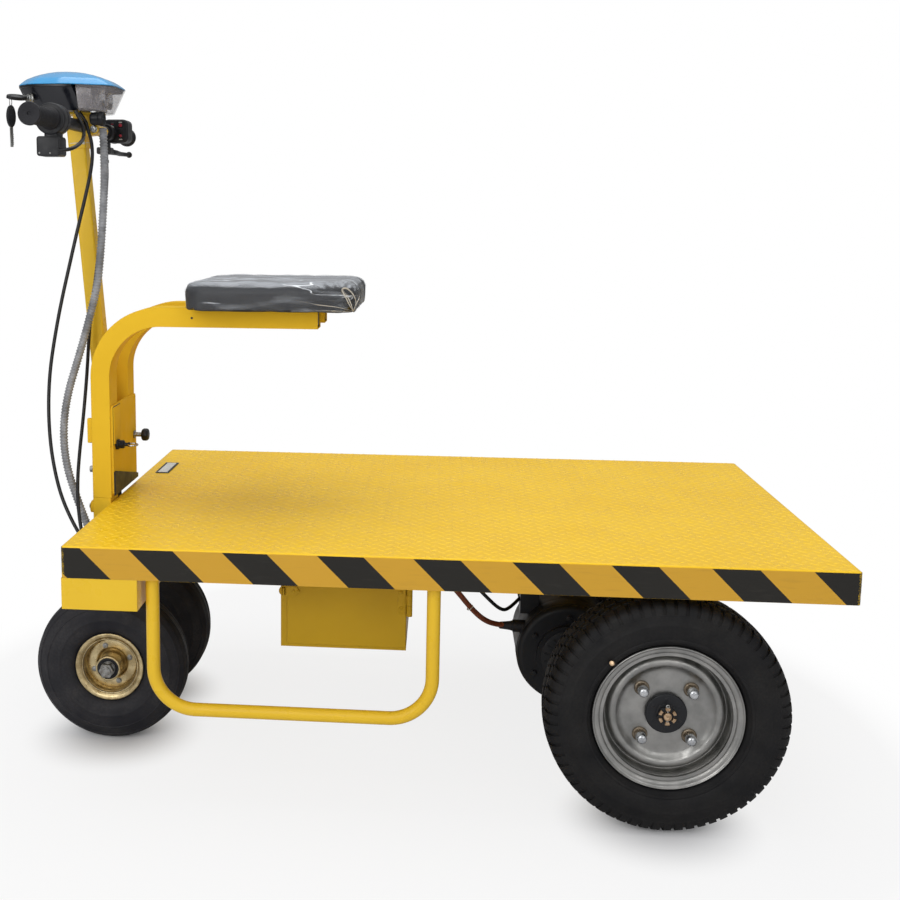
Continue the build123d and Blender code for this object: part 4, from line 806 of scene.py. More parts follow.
    def make(
        self, name: str, finishes: Finish | Sequence[Finish], body: str | None, stands_for: Sequence[str] = (),
        sharp: float = 38.0
    ) -> bpy.types.Object:
        """Turn the gathered faces into an object that rides on a body.

        Args:
            name: The piece's name.
            finishes: The finish, or one for each mark.
            body: The CAD body that it rides on, or None where it bends between two.
            stands_for: The CAD nodes that it replaces.
            sharp: The angle in degrees from which an edge stays sharp.

        Returns:
            The object.
        """
        chosen = [finishes] if isinstance(finishes, Finish) else list(finishes)
        bm = bmesh.new()
        verts = [bm.verts.new(p * MM) for p in self.points]
        for face, mark in zip(self.faces, self.marks):
            if len(set(face)) > 2:
                made = bm.faces.new([verts[i] for i in face])
                made.material_index = mark
        bmesh.ops.remove_doubles(bm, verts=bm.verts, dist=1e-7)
        bmesh.ops.recalc_face_normals(bm, faces=bm.faces)
        mesh = bpy.data.meshes.new(name)
        bm.to_mesh(mesh)
        bm.free()
        mesh.shade_smooth()
        mesh.set_sharp_from_angle(angle=radians(sharp))
        obj = bpy.data.objects.new(name, mesh)
        bpy.context.scene.collection.objects.link(obj)
        for finish in chosen:
            mesh.materials.append(finish.material())
        if body:
            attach(obj, body)
        if stands_for:
            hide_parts(*stands_for)
        log.info("%s: %d faces on %s", name, len(mesh.polygons), body or "two bodies")
        return obj


def finish_nodes(finish: Finish, *names: str) -> None:
    """Give CAD nodes a finish.

    Args:
        finish: The finish.
        names: The nodes' names.
    """
    for name in names:
        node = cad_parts[name]
        for slot in node.material_slots:
            slot.material = finish.material()
        log.info("%s: CAD node in %s", name, finish.name)


# --- The cart's sub-assemblies ---


@dataclass
class Deck:
    """The load deck: chequer plate on top, hazard tape round the skirt and a bare inset plate."""

    rear_x: float = -537.5
    front_x: float = 712.5
    half_y: float = 400.0
    top: float = 450.0
    corner: float = 6.0
    lug_pitch: float = 12.0  # half the repeat of the pressed pattern
    lug_half: float = 10.2
    lug_height: float = 1.0
    margin: float = 9.0
    tape_top: float = 447.6
    tape_bottom: float = 397.2
    tape_repeat: float = 152.4
    tape_black: float = 73.0
    tape_start: float = -426.1  # X of a black stripe's left corner at the tape's top
    tape_column: float = 2.0
    plate: tuple[float, float, float, float] = (-515.5, -487.5, 150.0, 250.0)

    def build(self) -> None:
        """Build and dress the deck."""
        finish_nodes(DECK_YELLOW, "deck_plate")
        finish_nodes(YELLOW, "deck_frame", "steer_crossmember", "steering_head")
        self.chequer()
        self.tape()
        self.bare_plate()
        self.seams()

    def chequer(self) -> None:
        """Press the plate's pattern: low lozenges, each pointing at the middle of the next one."""
        half, rise = self.lug_half, self.lug_height
        shape = [
            (-half, 0, 0), (-half * 0.45, 2.7, 0), (half * 0.45, 2.7, 0), (half, 0, 0), (half * 0.45, -2.7, 0),
            (-half * 0.45, -2.7, 0), (-half * 0.55, 0, rise), (half * 0.55, 0, rise)
        ]
        faces = [(0, 6, 1), (1, 6, 7, 2), (2, 7, 3), (3, 7, 4), (4, 7, 6, 5), (5, 6, 0)]
        piece = Piece()
        columns = int((self.front_x - self.rear_x - 2 * self.margin) / self.lug_pitch)
        rows = int((2 * self.half_y - 2 * self.margin) / self.lug_pitch)
        first_x = (self.rear_x + self.front_x - columns * self.lug_pitch) / 2
        plate = self.plate
        for i in range(columns + 1):
            for j in range(i % 2, rows + 1, 2):
                x = first_x + i * self.lug_pitch
                y = (j - rows / 2) * self.lug_pitch
                if plate[0] - 8 < x < plate[1] + 8 and plate[2] - 8 < y < plate[3] + 8:
                    continue
                turn = pi / 4 if i % 2 else -pi / 4
                place = Matrix.Translation((x, y, self.top - 0.05)) @ Matrix.Rotation(turn, 4, "Z")
                piece.add(shape, faces, place)
        # The lugs take the lighter yellow: a painted highlight
        piece.make("deck_chequer", LUG_HIGHLIGHT_YELLOW, "chassis", sharp=80)

    def edge_point(self, along: float, out: float) -> tuple[float, float]:
        """Give the point at a distance along the deck's outline, from its near rear corner.

        Args:
            along: The distance, to the right along the near side first.
            out: How far outside the sheet the point lies.

        Returns:
            Its X and Y.
        """
        r = self.corner
        length = self.front_x - self.rear_x - 2 * r
        width = 2 * self.half_y - 2 * r
        arc = pi / 2 * r
        along %= 2 * (length + width) + 4 * arc
        corners = (
            (self.rear_x + r, -self.half_y + r, length, (1, 0)),
            (self.front_x - r, -self.half_y + r, width, (0, 1)),
            (self.front_x - r, self.half_y - r, length, (-1, 0)),
            (self.rear_x + r, self.half_y - r, width, (0, -1))
        )
        for i, (cx, cy, run, way) in enumerate(corners):
            normal = (way[1], -way[0])
            if along < run:
                return (cx + way[0] * along + normal[0] * (r + out), cy + way[1] * along + normal[1] * (r + out))
            along -= run
            if along < arc:
                a = radians(-90 + 90 * i) + along / r
                nx, ny = corners[(i + 1) % 4][:2]
                return (nx + (r + out) * cos(a), ny + (r + out) * sin(a))
            along -= arc
        return (self.rear_x + r, -self.half_y - out)

    def tape(self) -> None:
        """Lay the striped tape round the skirt in slanted columns, so that each stripe has a clean edge."""
        r = self.corner
        around = 2 * (self.front_x - self.rear_x + 2 * self.half_y - 4 * r) + 2 * pi * r
        count = round(around / self.tape_column)
        step = around / count
        rows = 20
        height = self.tape_top - self.tape_bottom
        piece = Piece()
        points = []
        start = -60.0
        for i in range(count + 1):
            for j in range(rows + 1):
                drop = height * j / rows
                lift = 0.3 + 0.14 * noise.noise(Vector((i * 0.055, j * 0.3, 2.0)))
                x, y = self.edge_point(start + i * step + drop, lift)
                points.append((x, y, self.tape_top - drop))
        shades: dict[int, list] = {0: [], 1: []}
        for i in range(count):
            middle = self.rear_x + r + start + (i + 0.5) * step - self.tape_start
            black = middle % self.tape_repeat < self.tape_black
            for j in range(rows):
                k = i * (rows + 1) + j
                shades[int(black)].append((k, k + 1, k + rows + 2, k + rows + 1))
        piece.add(points, shades[0])
        piece.faces.extend(shades[1])
        piece.marks.extend([1] * len(shades[1]))
        piece.make("hazard_tape", (TAPE_YELLOW, TAPE_BLACK), "chassis", sharp=80)

    def bare_plate(self) -> None:
        """Set the small plate into the deck: a black frame, a bare pale face and four screws."""
        x0, x1, y0, y1 = self.plate
        place = stand(((x0 + x1) / 2, (y0 + y1) / 2, self.top - 0.2))
        length, width = x1 - x0, y1 - y0
        piece = Piece()
        piece.prism(rounded_box(length, width, 2.5), 1.7, place, 0, ease=0.5)
        piece.prism(rounded_box(length - 9, width - 9, 1.5), 0.35, moved(place, 0, 0, 1.6), 1, ease=0.15)
        for sx in (-1, 1):
            for sy in (-1, 1):
                spot = place @ Matrix.Translation((sx * (length / 2 - 2.4), sy * (width / 2 - 2.4), 1.65))
                piece.screw(spot, 1.5, 2)
        piece.make("deck_inset_plate", (BLACK_NYLON, PLATE_PALE, BOLT_ZINC), "chassis")

    def seams(self) -> None:
        """Weld the cross-member and the rails' ends to the skirt, on the underside."""
        piece = Piece()
        for y in (-399.0, 399.0):
            piece.weld([(-530, y * 0.998, 397), (-415, y * 0.998, 397)], 1.6)
        for y in (-215.0, -245.0, 215.0, 245.0):
            for x0, x1 in ((-405, -385), (54, 74), (427, 447)):
                piece.weld([(x0, y, 397.4), (x1, y, 397.4)], 1.8)
        piece.make("deck_welds", YELLOW, "chassis", sharp=60)


@dataclass
class FootRails:
    """The two bent foot rails, with a weld collar where each leg meets the frame."""

    y: float = 370.0
    legs: tuple[float, float] = (-394.5, 64.0)
    top: float = 397.0
    tube_r: float = 11.0

    def build(self) -> None:
        """Build and dress the foot rails."""
        finish_nodes(YELLOW, "foot_rail_right", "foot_rail_left")
        for side in Side:
            piece = Piece()
            for x in self.legs:
                ring = [
                    (
                        x + (self.tube_r + 0.4) * cos(a), side.value * self.y + (self.tube_r + 0.4) * sin(a),
                        self.top - 1.2
                    ) for a in angles(48)
                ]
                sizes = [2.0 + 0.3 * abs(sin(i * 1.3)) for i in range(48)]
                piece.tube(ring, sizes, 0, 8, ring=True)
            piece.make(f"foot_rail_welds_{side.word}", YELLOW, "chassis", sharp=60)


@dataclass
class BatteryBay:
    """The battery box, its door with hinge and hasp, and the battery with its lid and terminals."""

    front_x: float = 17.5
    rear_x: float = -199.5
    bottom: float = 239.0
    top: float = 397.0
    near_y: float = -250.0
    hinge_z: float = 330.0
    case_top: float = 369.5

    def build(self) -> None:
        """Build and dress the battery bay."""
        finish_nodes(BOX_YELLOW, "battery_box", "battery_door")
        finish_nodes(CASE_GREY, "battery_pack")
        finish_nodes(BOLT_ZINC, "hinge_pin")
        self.leaf_screws()
        self.door_trim()
        self.battery()

    def leaf_screws(self) -> None:
        """Set the screws of the hinge's fixed leaf and the welds along the box's top."""
        piece = Piece()
        for z in (self.hinge_z - 19, self.hinge_z + 19):
            for y in (-232.0, -241.0):
                piece.screw(stand((self.front_x + 1.9, y, z), (1, 0, 0), (0, 1, 0)), 2.4, 0)
        piece.weld([(self.rear_x + 20, 249.0, 396.6), (self.front_x - 20, 249.0, 396.6)], 1.4, 1)
        piece.weld([(self.front_x, -200, 396.6), (self.front_x, 230, 396.6)], 1.4, 1)
        piece.weld([(self.rear_x, -200, 396.6), (self.rear_x, 230, 396.6)], 1.4, 1)
        piece.make("box_fixings", (BOLT_ZINC, BOX_YELLOW), "chassis", sharp=50)

    def door_trim(self) -> None:
        """Set the pressed line of the hinge leaf and its rivets on the door, and the hasp's rivets."""
        piece = Piece()
        y = self.near_y - 0.05
        for z in (self.hinge_z - 14, self.hinge_z + 14):
            piece.lathe(
                [(3.0, 0), (2.8, 0.7), (1.6, 1.3), (0, 1.5)], stand((self.front_x - 9.5, y - 0.7, z), (0, -1, 0)),
                1, 20
            )
        leaf = stand((self.front_x - 8.5, y + 0.2, self.hinge_z), (0, -1, 0))
        piece.prism(rounded_box(13, 50, 1.2, 3), 0.9, leaf, 1, ease=0.3)
        for x in (-168.5, -176.5):
            piece.lathe([(2.6, 0), (2.4, 0.6), (1.4, 1.1), (0, 1.3)], stand((x, y - 2.9, 340), (0, -1, 0)), 1, 20)
        piece.make("door_trim", (BOLT_ZINC, BOX_YELLOW), "battery_door", sharp=50)

    def battery(self) -> None:
        """Give the battery its lid line, carrying strap, vents and covered terminals."""
        piece = Piece()
        place = stand(((self.front_x + self.rear_x) / 2, 17.5, self.case_top))
        piece.prism(rounded_box(190, 434, 7), 5.5, moved(place, 0, 0, -0.5), 0, ease=2.0)
        for y, mark in ((-170.0, 1), (170.0, 2)):
            spot = moved(place, 62, y, 4.5)
            piece.lathe(eased([(0, 0), (13, 0), (12, 9), (8, 12), (0, 12.5)], 2), spot, mark, 32)
        strap = [
            (-60, -70, 5), (-60, -66, 11), (-60, -40, 14), (-60, 0, 15), (-60, 40, 14), (-60, 66, 11),
            (-60, 70, 5)
        ]
        middle = place.translation
        piece.tube([tuple(Vector(p) + middle) for p in eased(strap, 14)], 3.2, 3, 12)
        for i in range(6):
            spot = moved(place, 10, -125 + 50 * i, 4.8)
            piece.lathe(eased([(0, 0), (9, 0), (8.6, 2.4), (0, 2.6)], 0.8), spot, 0, 24)
        piece.make("battery_fittings", (CASE_GREY, BUTTON_RED, BLACK_NYLON, CABLE_BLACK), "chassis")


@dataclass
class SteerWheel:
    """One small wheel: a ribbed tyre on a bolted rim with a yellow chromate skin."""

    side: Side
    x: float = -537.31
    y: float = 105.0
    z: float = 143.0
    tyre_r: float = 143.0
    half: float = 42.5
    bolt_r: float = 36.0
    rib_grooves: tuple[float, ...] = (-22.0, -8.0, 8.0, 22.0)

    def build(self) -> None:
        """Build and dress the wheel."""
        self.body = f"steer_wheel_{self.side.word}"
        self.place = outboard(self.x, self.y, self.z, self.side)
        self.tyre()
        self.rim()

    def tyre(self) -> None:
        """Turn the tyre: bead, wall with two raised rings, shoulder ring and ribbed tread."""
        wall = [
            (66.0, 28.6), (68.5, 33.0), (73.0, 37.0), (79.0, 39.6), (86.0, 41.4), (91.0, 42.1), (92.2, 42.9),
            (93.8, 42.9), (95.0, 42.3), (102.0, 42.5), (109.0, 41.7), (114.5, 40.3), (115.6, 41.1), (117.2, 40.7),
            (118.2, 39.2), (124.0, 36.6), (129.0, 33.4), (131.2, 31.9), (132.2, 32.4), (133.6, 31.4),
            (134.4, 29.8), (137.4, 26.8)
        ]
        tread = []
        for groove in sorted(self.rib_grooves, reverse=True):
            crown = self.tyre_r - 5.5 * (groove / 27) ** 2
            tread += [
                (crown, groove + 1.9), (crown - 3.2, groove + 1.1), (crown - 3.2, groove - 1.1),
                (crown, groove - 1.9)
            ]
        half = wall + [(139.6, 24.6)]
        mirrored = [(r, -a) for r, a in reversed(half)]
        loop = [(51.1, 28.6)] + half + tread + mirrored + [(51.1, -28.6), (51.1, 28.6)]
        piece = Piece().lathe(loop, self.place, 0, 128)
        name = f"steer_tyre_rubber_{self.side.word}"
        piece.make(name, WHEEL_RUBBER, self.body, [f"steer_tyre_{self.side.word}"], sharp=50)

    def rim(self) -> None:
        """Press the rim: rolled flanges, a dished centre with four bolts, the hub, its seal and its bearing."""
        outer = eased(
            [
                (46.8, -31.0), (63.0, -33.0), (65.0, -31.0), (63.0, -29.6), (50.8, -28.6), (50.8, 28.6),
                (62.0, 29.6), (65.4, 31.4), (63.6, 34.0), (58.0, 32.6), (52.5, 28.0), (48.6, 18.0), (47.4, 9.0),
                (46.0, 11.6), (42.0, 12.2), (31.0, 12.0), (28.6, 10.6), (27.2, 5.0), (23.6, 3.6)
            ],
            1.6, 3
        )
        back = [(23.6, -1.5), (44.0, -1.5), (46.8, -6.0), (46.8, -31.0)]
        piece = Piece().lathe(outer + back, self.place, 0, 112)
        hub = eased([(23.5, -42), (23.5, 41.0), (22.2, 42.0), (20.4, 42.0)], 0.8, 2)
        piece.lathe([(9.2, -42)] + hub + [(20.4, 38.8), (9.2, 38.8)], self.place, 0, 64)
        # Rubber seal with its wiper lip, then the turned inner ring of the bearing
        piece.lathe(
            eased([(20.3, 38.5), (20.3, 41.2), (17.5, 41.6), (15.5, 40.0), (13.6, 40.4), (13.6, 38.5)], 0.8),
            self.place, 1, 64
        )
        piece.lathe(eased([(13.5, 38.0), (13.5, 40.9), (9.0, 40.9), (9.0, 38.0)], 0.5), self.place, 2, 48)
        for i in range(4):
            spot = clocked(self.place, self.bolt_r, 20 + 90 * i, 11.9)
            piece.bolt(spot, 8.0, 2.6, 3)
        name = f"steer_rim_pressed_{self.side.word}"
        piece.make(
            name, (GOLD_ZINC, GRIP_RUBBER, TURNED_STEEL, BOLT_ZINC), self.body, [f"steer_rim_{self.side.word}"]
        )


@dataclass
class DriveWheel:
    """One road wheel: a treaded tyre, a pressed rim with four nuts, the brake drum and the axle nut."""

    side: Side
    x: float = 437.5
    y: float = 340.0
    z: float = 195.0
    pitch_count: int = 64
    stud_r: float = 55.0
    disc_face: float = 15.0
    disc_steps: int = 128

    def build(self) -> None:
        """Build and dress the wheel."""
        self.body = f"drive_wheel_{self.side.word}"
        self.place = outboard(self.x, self.y, self.z, self.side)
        self.tyre()
        self.rim()
        self.hub()

    def tyre(self) -> None:
        """Turn the carcass and cut its tread into shoulder blocks and three staggered rows."""
        wall = [
            (120.0, 36.6), (121.5, 41.0), (124.0, 44.6), (127.0, 47.2), (128.0, 48.8), (131.5, 49.6),
            (133.0, 49.0), (139.0, 51.4), (147.0, 52.4), (154.0, 52.5), (156.0, 52.9), (157.6, 52.8),
            (158.6, 52.2), (166.0, 51.2), (171.0, 50.0), (172.0, 50.4), (173.4, 50.0), (174.0, 49.2),
            (180.0, 46.6), (184.6, 42.8), (188.4, 36.0), (190.6, 20.0), (191.2, 0.0)
        ]
        mirrored = [(r, -a) for r, a in reversed(wall[:-1])]
        loop = [(101.9, 36.6)] + wall + mirrored + [(101.9, -36.6), (101.9, 36.6)]
        piece = Piece().lathe(loop, self.place, 0, 128)
        pitch = 360 / self.pitch_count
        shoulder = [
            (168.0, 50.4), (176.0, 49.8), (183.0, 47.0), (188.6, 42.4), (191.3, 37.0), (193.4, 25.0),
            (187.0, 25.0), (180.0, 43.0)
        ]
        for i in range(self.pitch_count):
            start = i * pitch
            piece.lathe(shoulder, self.place, 0, 3, (start, start + pitch * 0.68))
            other = [(r, -a) for r, a in shoulder]
            piece.lathe(other, self.place, 0, 3, (start + pitch / 2, start + pitch * 1.18))
            for low, high, shift in ((9.0, 21.5, 0.25), (-6.0, 6.0, 0.6), (-21.5, -9.0, 0.0)):
                edge = 195 - 4 * (max(abs(low), abs(high)) / 37.5) ** 2
                block = [(187.4, low), (edge, low), (edge, high), (187.4, high)]
                piece.lathe(block, self.place, 0, 2, (start + shift * pitch, start + (shift + 0.82) * pitch))
        name = f"drive_tyre_rubber_{self.side.word}"
        piece.make(name, ROAD_RUBBER, self.body, [f"drive_tyre_{self.side.word}"], sharp=32)

    def rim(self) -> None:
        """Press the rim: rolled flanges, a deep well and the disc with its raised ring."""
        front = eased(
            [
                (27.2, 15.0), (65.0, 15.0), (71.0, 15.8), (76.0, 18.8), (80.5, 22.8), (85.5, 23.8), (90.0, 22.0),
                (93.4, 17.0), (95.0, 14.2), (96.3, 13.4), (97.5, 15.0), (98.4, 21.0), (99.8, 27.0), (102.0, 31.5),
                (106.2, 33.0), (107.0, 38.4), (111.0, 40.6), (115.2, 41.0), (117.6, 44.0), (119.6, 42.2),
                (118.6, 37.4), (102.0, 36.7), (101.5, 36.7), (101.5, -37.0), (118.6, -37.4), (119.4, -42.0),
                (116.0, -43.6), (113.0, -40.6), (98.0, -39.0), (97.4, -4.0), (92.0, -4.6), (91.0, 6.0),
                (87.0, 15.0), (82.5, 19.6), (77.0, 14.0), (73.0, 11.2), (27.2, 11.0)
            ],
            2.6, 3
        )
        piece = Piece().lathe(front + [(27.2, 15.0)], self.place, 0, self.disc_steps)
        # Balance weight clipped inside the flange
        piece.lathe([(103.0, 31.0), (108.0, 33.0), (107.0, 37.0), (102.6, 35.0)], self.place, 0, 8, (200, 213))
        # Valve under the flange, whose capped tip stands out of the bead
        corner = cos(pi / 4)
        root, end = (self.place @ Vector((-r * corner, r * corner, h)) for r, h in ((124, 40), (131, 54)))
        piece.tube([root, end], [4.4, 3.8], 1, 20)
        cap = [
            (3.0, -1.5), (3.0, 0.5), (4.3, 0.9), (4.3, 2.0), (3.7, 2.3), (4.3, 2.6), (4.3, 5.2), (3.4, 6.2),
            (0, 6.4)
        ]
        piece.lathe(eased([(0, -1.5)] + cap, 0.3, 2), stand(end, end - root, (0, 0, 1)), 2, 24)
        name = f"drive_rim_pressed_{self.side.word}"
        piece.make(name, (RIM_ZINC, GRIP_RUBBER, BRASS), self.body, [f"drive_rim_{self.side.word}"], sharp=50)

    def hub(self) -> None:
        """Build the drum, the black hub disc, the chrome nuts on their washers and the castle nut."""
        face = self.disc_face
        piece = Piece()
        drum = eased(
            [
                (15, -117), (15, -27), (78, -27), (82, -24), (82, -22), (80.5, -21), (80.5, 0), (78, 3.6),
                (70, 10.9), (27, 10.9)
            ],
            1.6
        )
        piece.lathe([(0, -117)] + drum + [(27, 10.9), (0, 10.9)], self.place, 1, 96)
        disc = eased(
            [
                (27.0, face - 4), (27.0, face + 0.1), (33.0, face + 0.1), (33.0, face + 7.4), (31.4, face + 8.8),
                (16.0, face + 8.8)
            ],
            1.0
        )
        piece.lathe(disc + [(14.6, face + 6.8), (0, face + 6.8)], self.place, 0, 80)
        for i in range(6):
            spot = clocked(self.place, 24.2, 30 + 60 * i, face + 8.7)
            piece.lathe(eased([(2.6, 0), (2.4, 0.5), (0, 0.6)], 0.2, 2), spot, 0, 16)
        for i in range(4):
            spot = clocked(self.place, self.stud_r, 45 + 90 * i, face)
            piece.lathe(eased([(0, 0), (12.2, 0), (12.2, 1.8), (10.4, 3.4), (0, 3.4)], 0.5, 2), spot, 5, 36)
            piece.prism(circle(9.9, 6, 0.3 * i), 9.0, moved(spot, 0, 0, 3.4), 5, ease=1.0)
            cap = eased([(8.7, 12.0), (8.5, 19.0), (7.6, 23.2), (4.8, 25.2), (0, 25.8)], 1.6, 3)
            piece.lathe([(0, 12.0)] + cap, spot, 2, 32)
        self.castle_nut(piece)
        name = f"drive_hub_turned_{self.side.word}"
        coats = (BLACK_STEEL, CAST_IRON, CHROME, BRASS, TURNED_STEEL, OLD_ZINC)
        piece.make(name, coats, self.body, [f"drive_hub_{self.side.word}"])

    def castle_nut(self, piece: Piece) -> None:
        """Add the nut's body, its six castellations, the shaft's end and the split pin.

        Args:
            piece: The hub's piece, which they join.
        """
        base = self.disc_face + 8.7
        seat = moved(self.place, 0, 0, base)
        piece.lathe(eased([(0, 0), (17.5, 0), (17.5, 1.8), (0, 1.8)], 0.4, 2), seat, 0, 40)
        piece.prism(circle(16.0, 6, 0.2), 6.4, moved(seat, 0, 0, 1.7), 0, ease=0.8)
        for i in range(6):
            crown = eased([(9.4, 7.6), (9.4, 12.4), (14.6, 12.4), (14.6, 7.6)], 1.0, 3)
            piece.lathe(crown, seat, 3, 6, (60 * i + 14, 60 * i + 46))
        piece.lathe(eased([(6.8, 1), (6.8, 13.0), (5.8, 14.4), (1.6, 14.4), (0, 13.2)], 0.6, 2), seat, 3, 32)
        for leg in (-1, 1):
            bend = [
                (0, 15.5, 10.4), (0, 12.5, 10.4), (leg * 1.2, -12.8, 10.4), (leg * 3.6, -14.6, 8.4),
                (leg * 5.2, -14.9, 4.0)
            ]
            run = [seat @ Vector(p) for p in eased(bend, 2.0)]
            piece.tube(run, 1.15, 4, 8)
        loop = [seat @ Vector((2.3 * cos(a), 16.4 + 2.3 * sin(a), 10.4)) for a in angles(16)]
        piece.tube(loop, 1.15, 4, 8, ring=True)


@dataclass
class DriveTrain:
    """The beam axle, the gearcase, the motor and the hangers."""

    axle: tuple[float, float] = (437.5, 195.0)
    motor: tuple[float, float] = (309.0, 190.0)
    motor_r: float = 92.0
    motor_near_y: float = -110.0
    backplate_y: float = 312.5
    rail_y: float = 230.0

    def build(self) -> None:
        """Build and dress the drive train."""
        finish_nodes(CAST_IRON, "axle_housing", "axle_hanger_right", "axle_hanger_left")
        finish_nodes(BLACK_STEEL, "drive_motor")
        finish_nodes(BLACK_NYLON, "cable_gland", "cable_entry")
        self.motor_dress()
        self.gearcase_dress()
        self.brakes()
        self.hanger_bolts()

    def motor_dress(self) -> None:
        """Give the motor its brush-cover band, end-bell screws, cooling slots drawn as black pads that paint the
        shade in them, and terminal posts.
        """
        x, z = self.motor
        near = stand((x, self.motor_near_y, z), (0, -1, 0))
        piece = Piece()
        band = eased(
            [
                (self.motor_r - 0.4, -42), (self.motor_r + 1.0, -42), (self.motor_r + 1.0, -12),
                (self.motor_r - 0.4, -12)
            ],
            0.6, 2
        )
        piece.lathe(band, near, 0, 96)
        piece.lathe(
            eased([(50, 11.8), (50, 13.5), (30, 15.5), (14, 15.5), (12, 13.6), (0, 13.6)], 1.0), near, 0, 64
        )
        for i in range(6):
            piece.bolt(clocked(near, 70, 30 + 60 * i, -0.3), 9, 4.5, 0)
        # Black pads stand for the cooling slots: painted shade of the openings
        for i in range(18):
            a = radians(20 * i + 10)
            slot = near @ Matrix.Rotation(a, 4, "Z") @ Matrix.Translation((40, 0, 14.4))
            piece.prism(rounded_box(12, 3.2, 1.5, 3), 0.5, slot, 2)
        for i, y in enumerate((-44.0, -68.0)):
            post = stand((x - 68, y, z + 84 + 24.8), (0, 0, 1))
            piece.lathe(eased([(0, 0), (7, 0), (7, 3), (4, 3.5), (4, 9), (0, 9.4)], 0.5), post, 2, 28)
            piece.bolt(moved(post, 0, 0, 3.4), 8, 3.5, 3)
        piece.make("motor_fittings", (BLACK_STEEL, BOLT_ZINC, BLACK_NYLON, BRASS), "chassis")

    def gearcase_dress(self) -> None:
        """Bolt the gearcase's joint and set its plugs and ribs."""
        piece = Piece()
        ax, az = self.axle
        mx, mz = self.motor
        for face, way in ((124.0, 1), (40.0, -1)):
            for cx, cz, r, spread in ((ax, az, 66, range(-80, 100, 40)), (mx, mz, 52, range(130, 250, 40))):
                if way < 0 and cx == mx:
                    continue
                for turn in spread:
                    a = radians(turn)
                    spot = stand((cx + r * cos(a), face, cz + r * sin(a)), (0, way, 0))
                    piece.bolt(spot, 10, 5, 0)
        ring = stand((ax, 124.0, az), (0, 1, 0))
        piece.lathe(eased([(44, -1), (44, 5), (40, 7), (30, 7), (27, 4), (27, -1)], 1.2), ring, 1, 64)
        fill = stand((ax - 34, 82.0, az + 67.5), (-0.35, 0, 1))
        piece.bolt(fill, 17, 7, 0)
        drain = stand((ax, 82.0, az - 75.8), (0, 0, -1))
        piece.bolt(drain, 15, 5, 0)
        for side in Side:
            for y in (150.0, 190.0):
                if side is Side.RIGHT:
                    y -= 80
                ring = stand((ax, side.value * y, az), (0, side.value, 0))
                piece.lathe(eased([(25.8, 0), (30.5, 1), (30.5, 6), (25.8, 7)], 0.8), ring, 1, 48)
        piece.make("gearcase_fittings", (BOLT_ZINC, CAST_IRON), "chassis")

    def brakes(self) -> None:
        """Dress each brake's backplate with its rim, anchor bolts, lever and return spring."""
        ax, az = self.axle
        for side in Side:
            inner = stand((ax, side.value * (self.backplate_y - 7), az), (0, -side.value, 0), (1, 0, 0))
            piece = Piece()
            piece.lathe(eased([(80, -0.3), (84, 1.4), (85.6, 1.4), (85.9, -0.5)], 0.6), inner, 0, 96)
            piece.lathe(eased([(26, 0), (42, 0), (40, 4), (26, 6)], 1.2), inner, 0, 64)
            for i in range(4):
                piece.bolt(clocked(inner, 34, 45 + 90 * i, 2.6), 8, 4, 1)
            pivot = moved(inner, 0, 62, 0)
            piece.lathe(eased([(0, 0), (9, 0), (9, 8), (7, 10), (0, 10)], 0.8), pivot, 0, 28)
            lever = moved(inner, -18, 62, 9.5)
            piece.prism(rounded_box(52, 14, 6.9, 6), 4, lever, 1, ease=0.8)
            coil = [
                inner @ Vector(
                    (-40 + 0.85 * i * 0.9, 54 - i * 0.55 + 3.2 * sin(i * 0.9), 11 + 3.2 * cos(i * 0.9))
                ) for i in range(70)
            ]
            piece.tube(coil, 0.8, 1, 6)
            piece.make(f"brake_fittings_{side.word}", (CAST_IRON, BOLT_ZINC), "chassis")

    def hanger_bolts(self) -> None:
        """Bolt each hanger to its rail and weld its band to the axle tube."""
        ax, az = self.axle
        for side in Side:
            piece = Piece()
            for dx in (-58.0, 58.0):
                for way in (-1, 1):
                    spot = stand((ax + dx, side.value * self.rail_y + way * 22.0, 384.0), (0, way, 0))
                    piece.bolt(spot, 11, 5, 0)
            for way in (-1, 1):
                y = side.value * self.rail_y + way * 22.4
                ring = [(ax + 26.8 * cos(a), y, az + 26.8 * sin(a)) for a in angles(72)]
                sizes = [1.7 + 0.35 * abs(sin(i * 1.3)) for i in range(72)]
                piece.tube(ring, sizes, 1, 8, ring=True)
            piece.make(f"hanger_fittings_{side.word}", (BOLT_ZINC, CAST_IRON), "chassis")


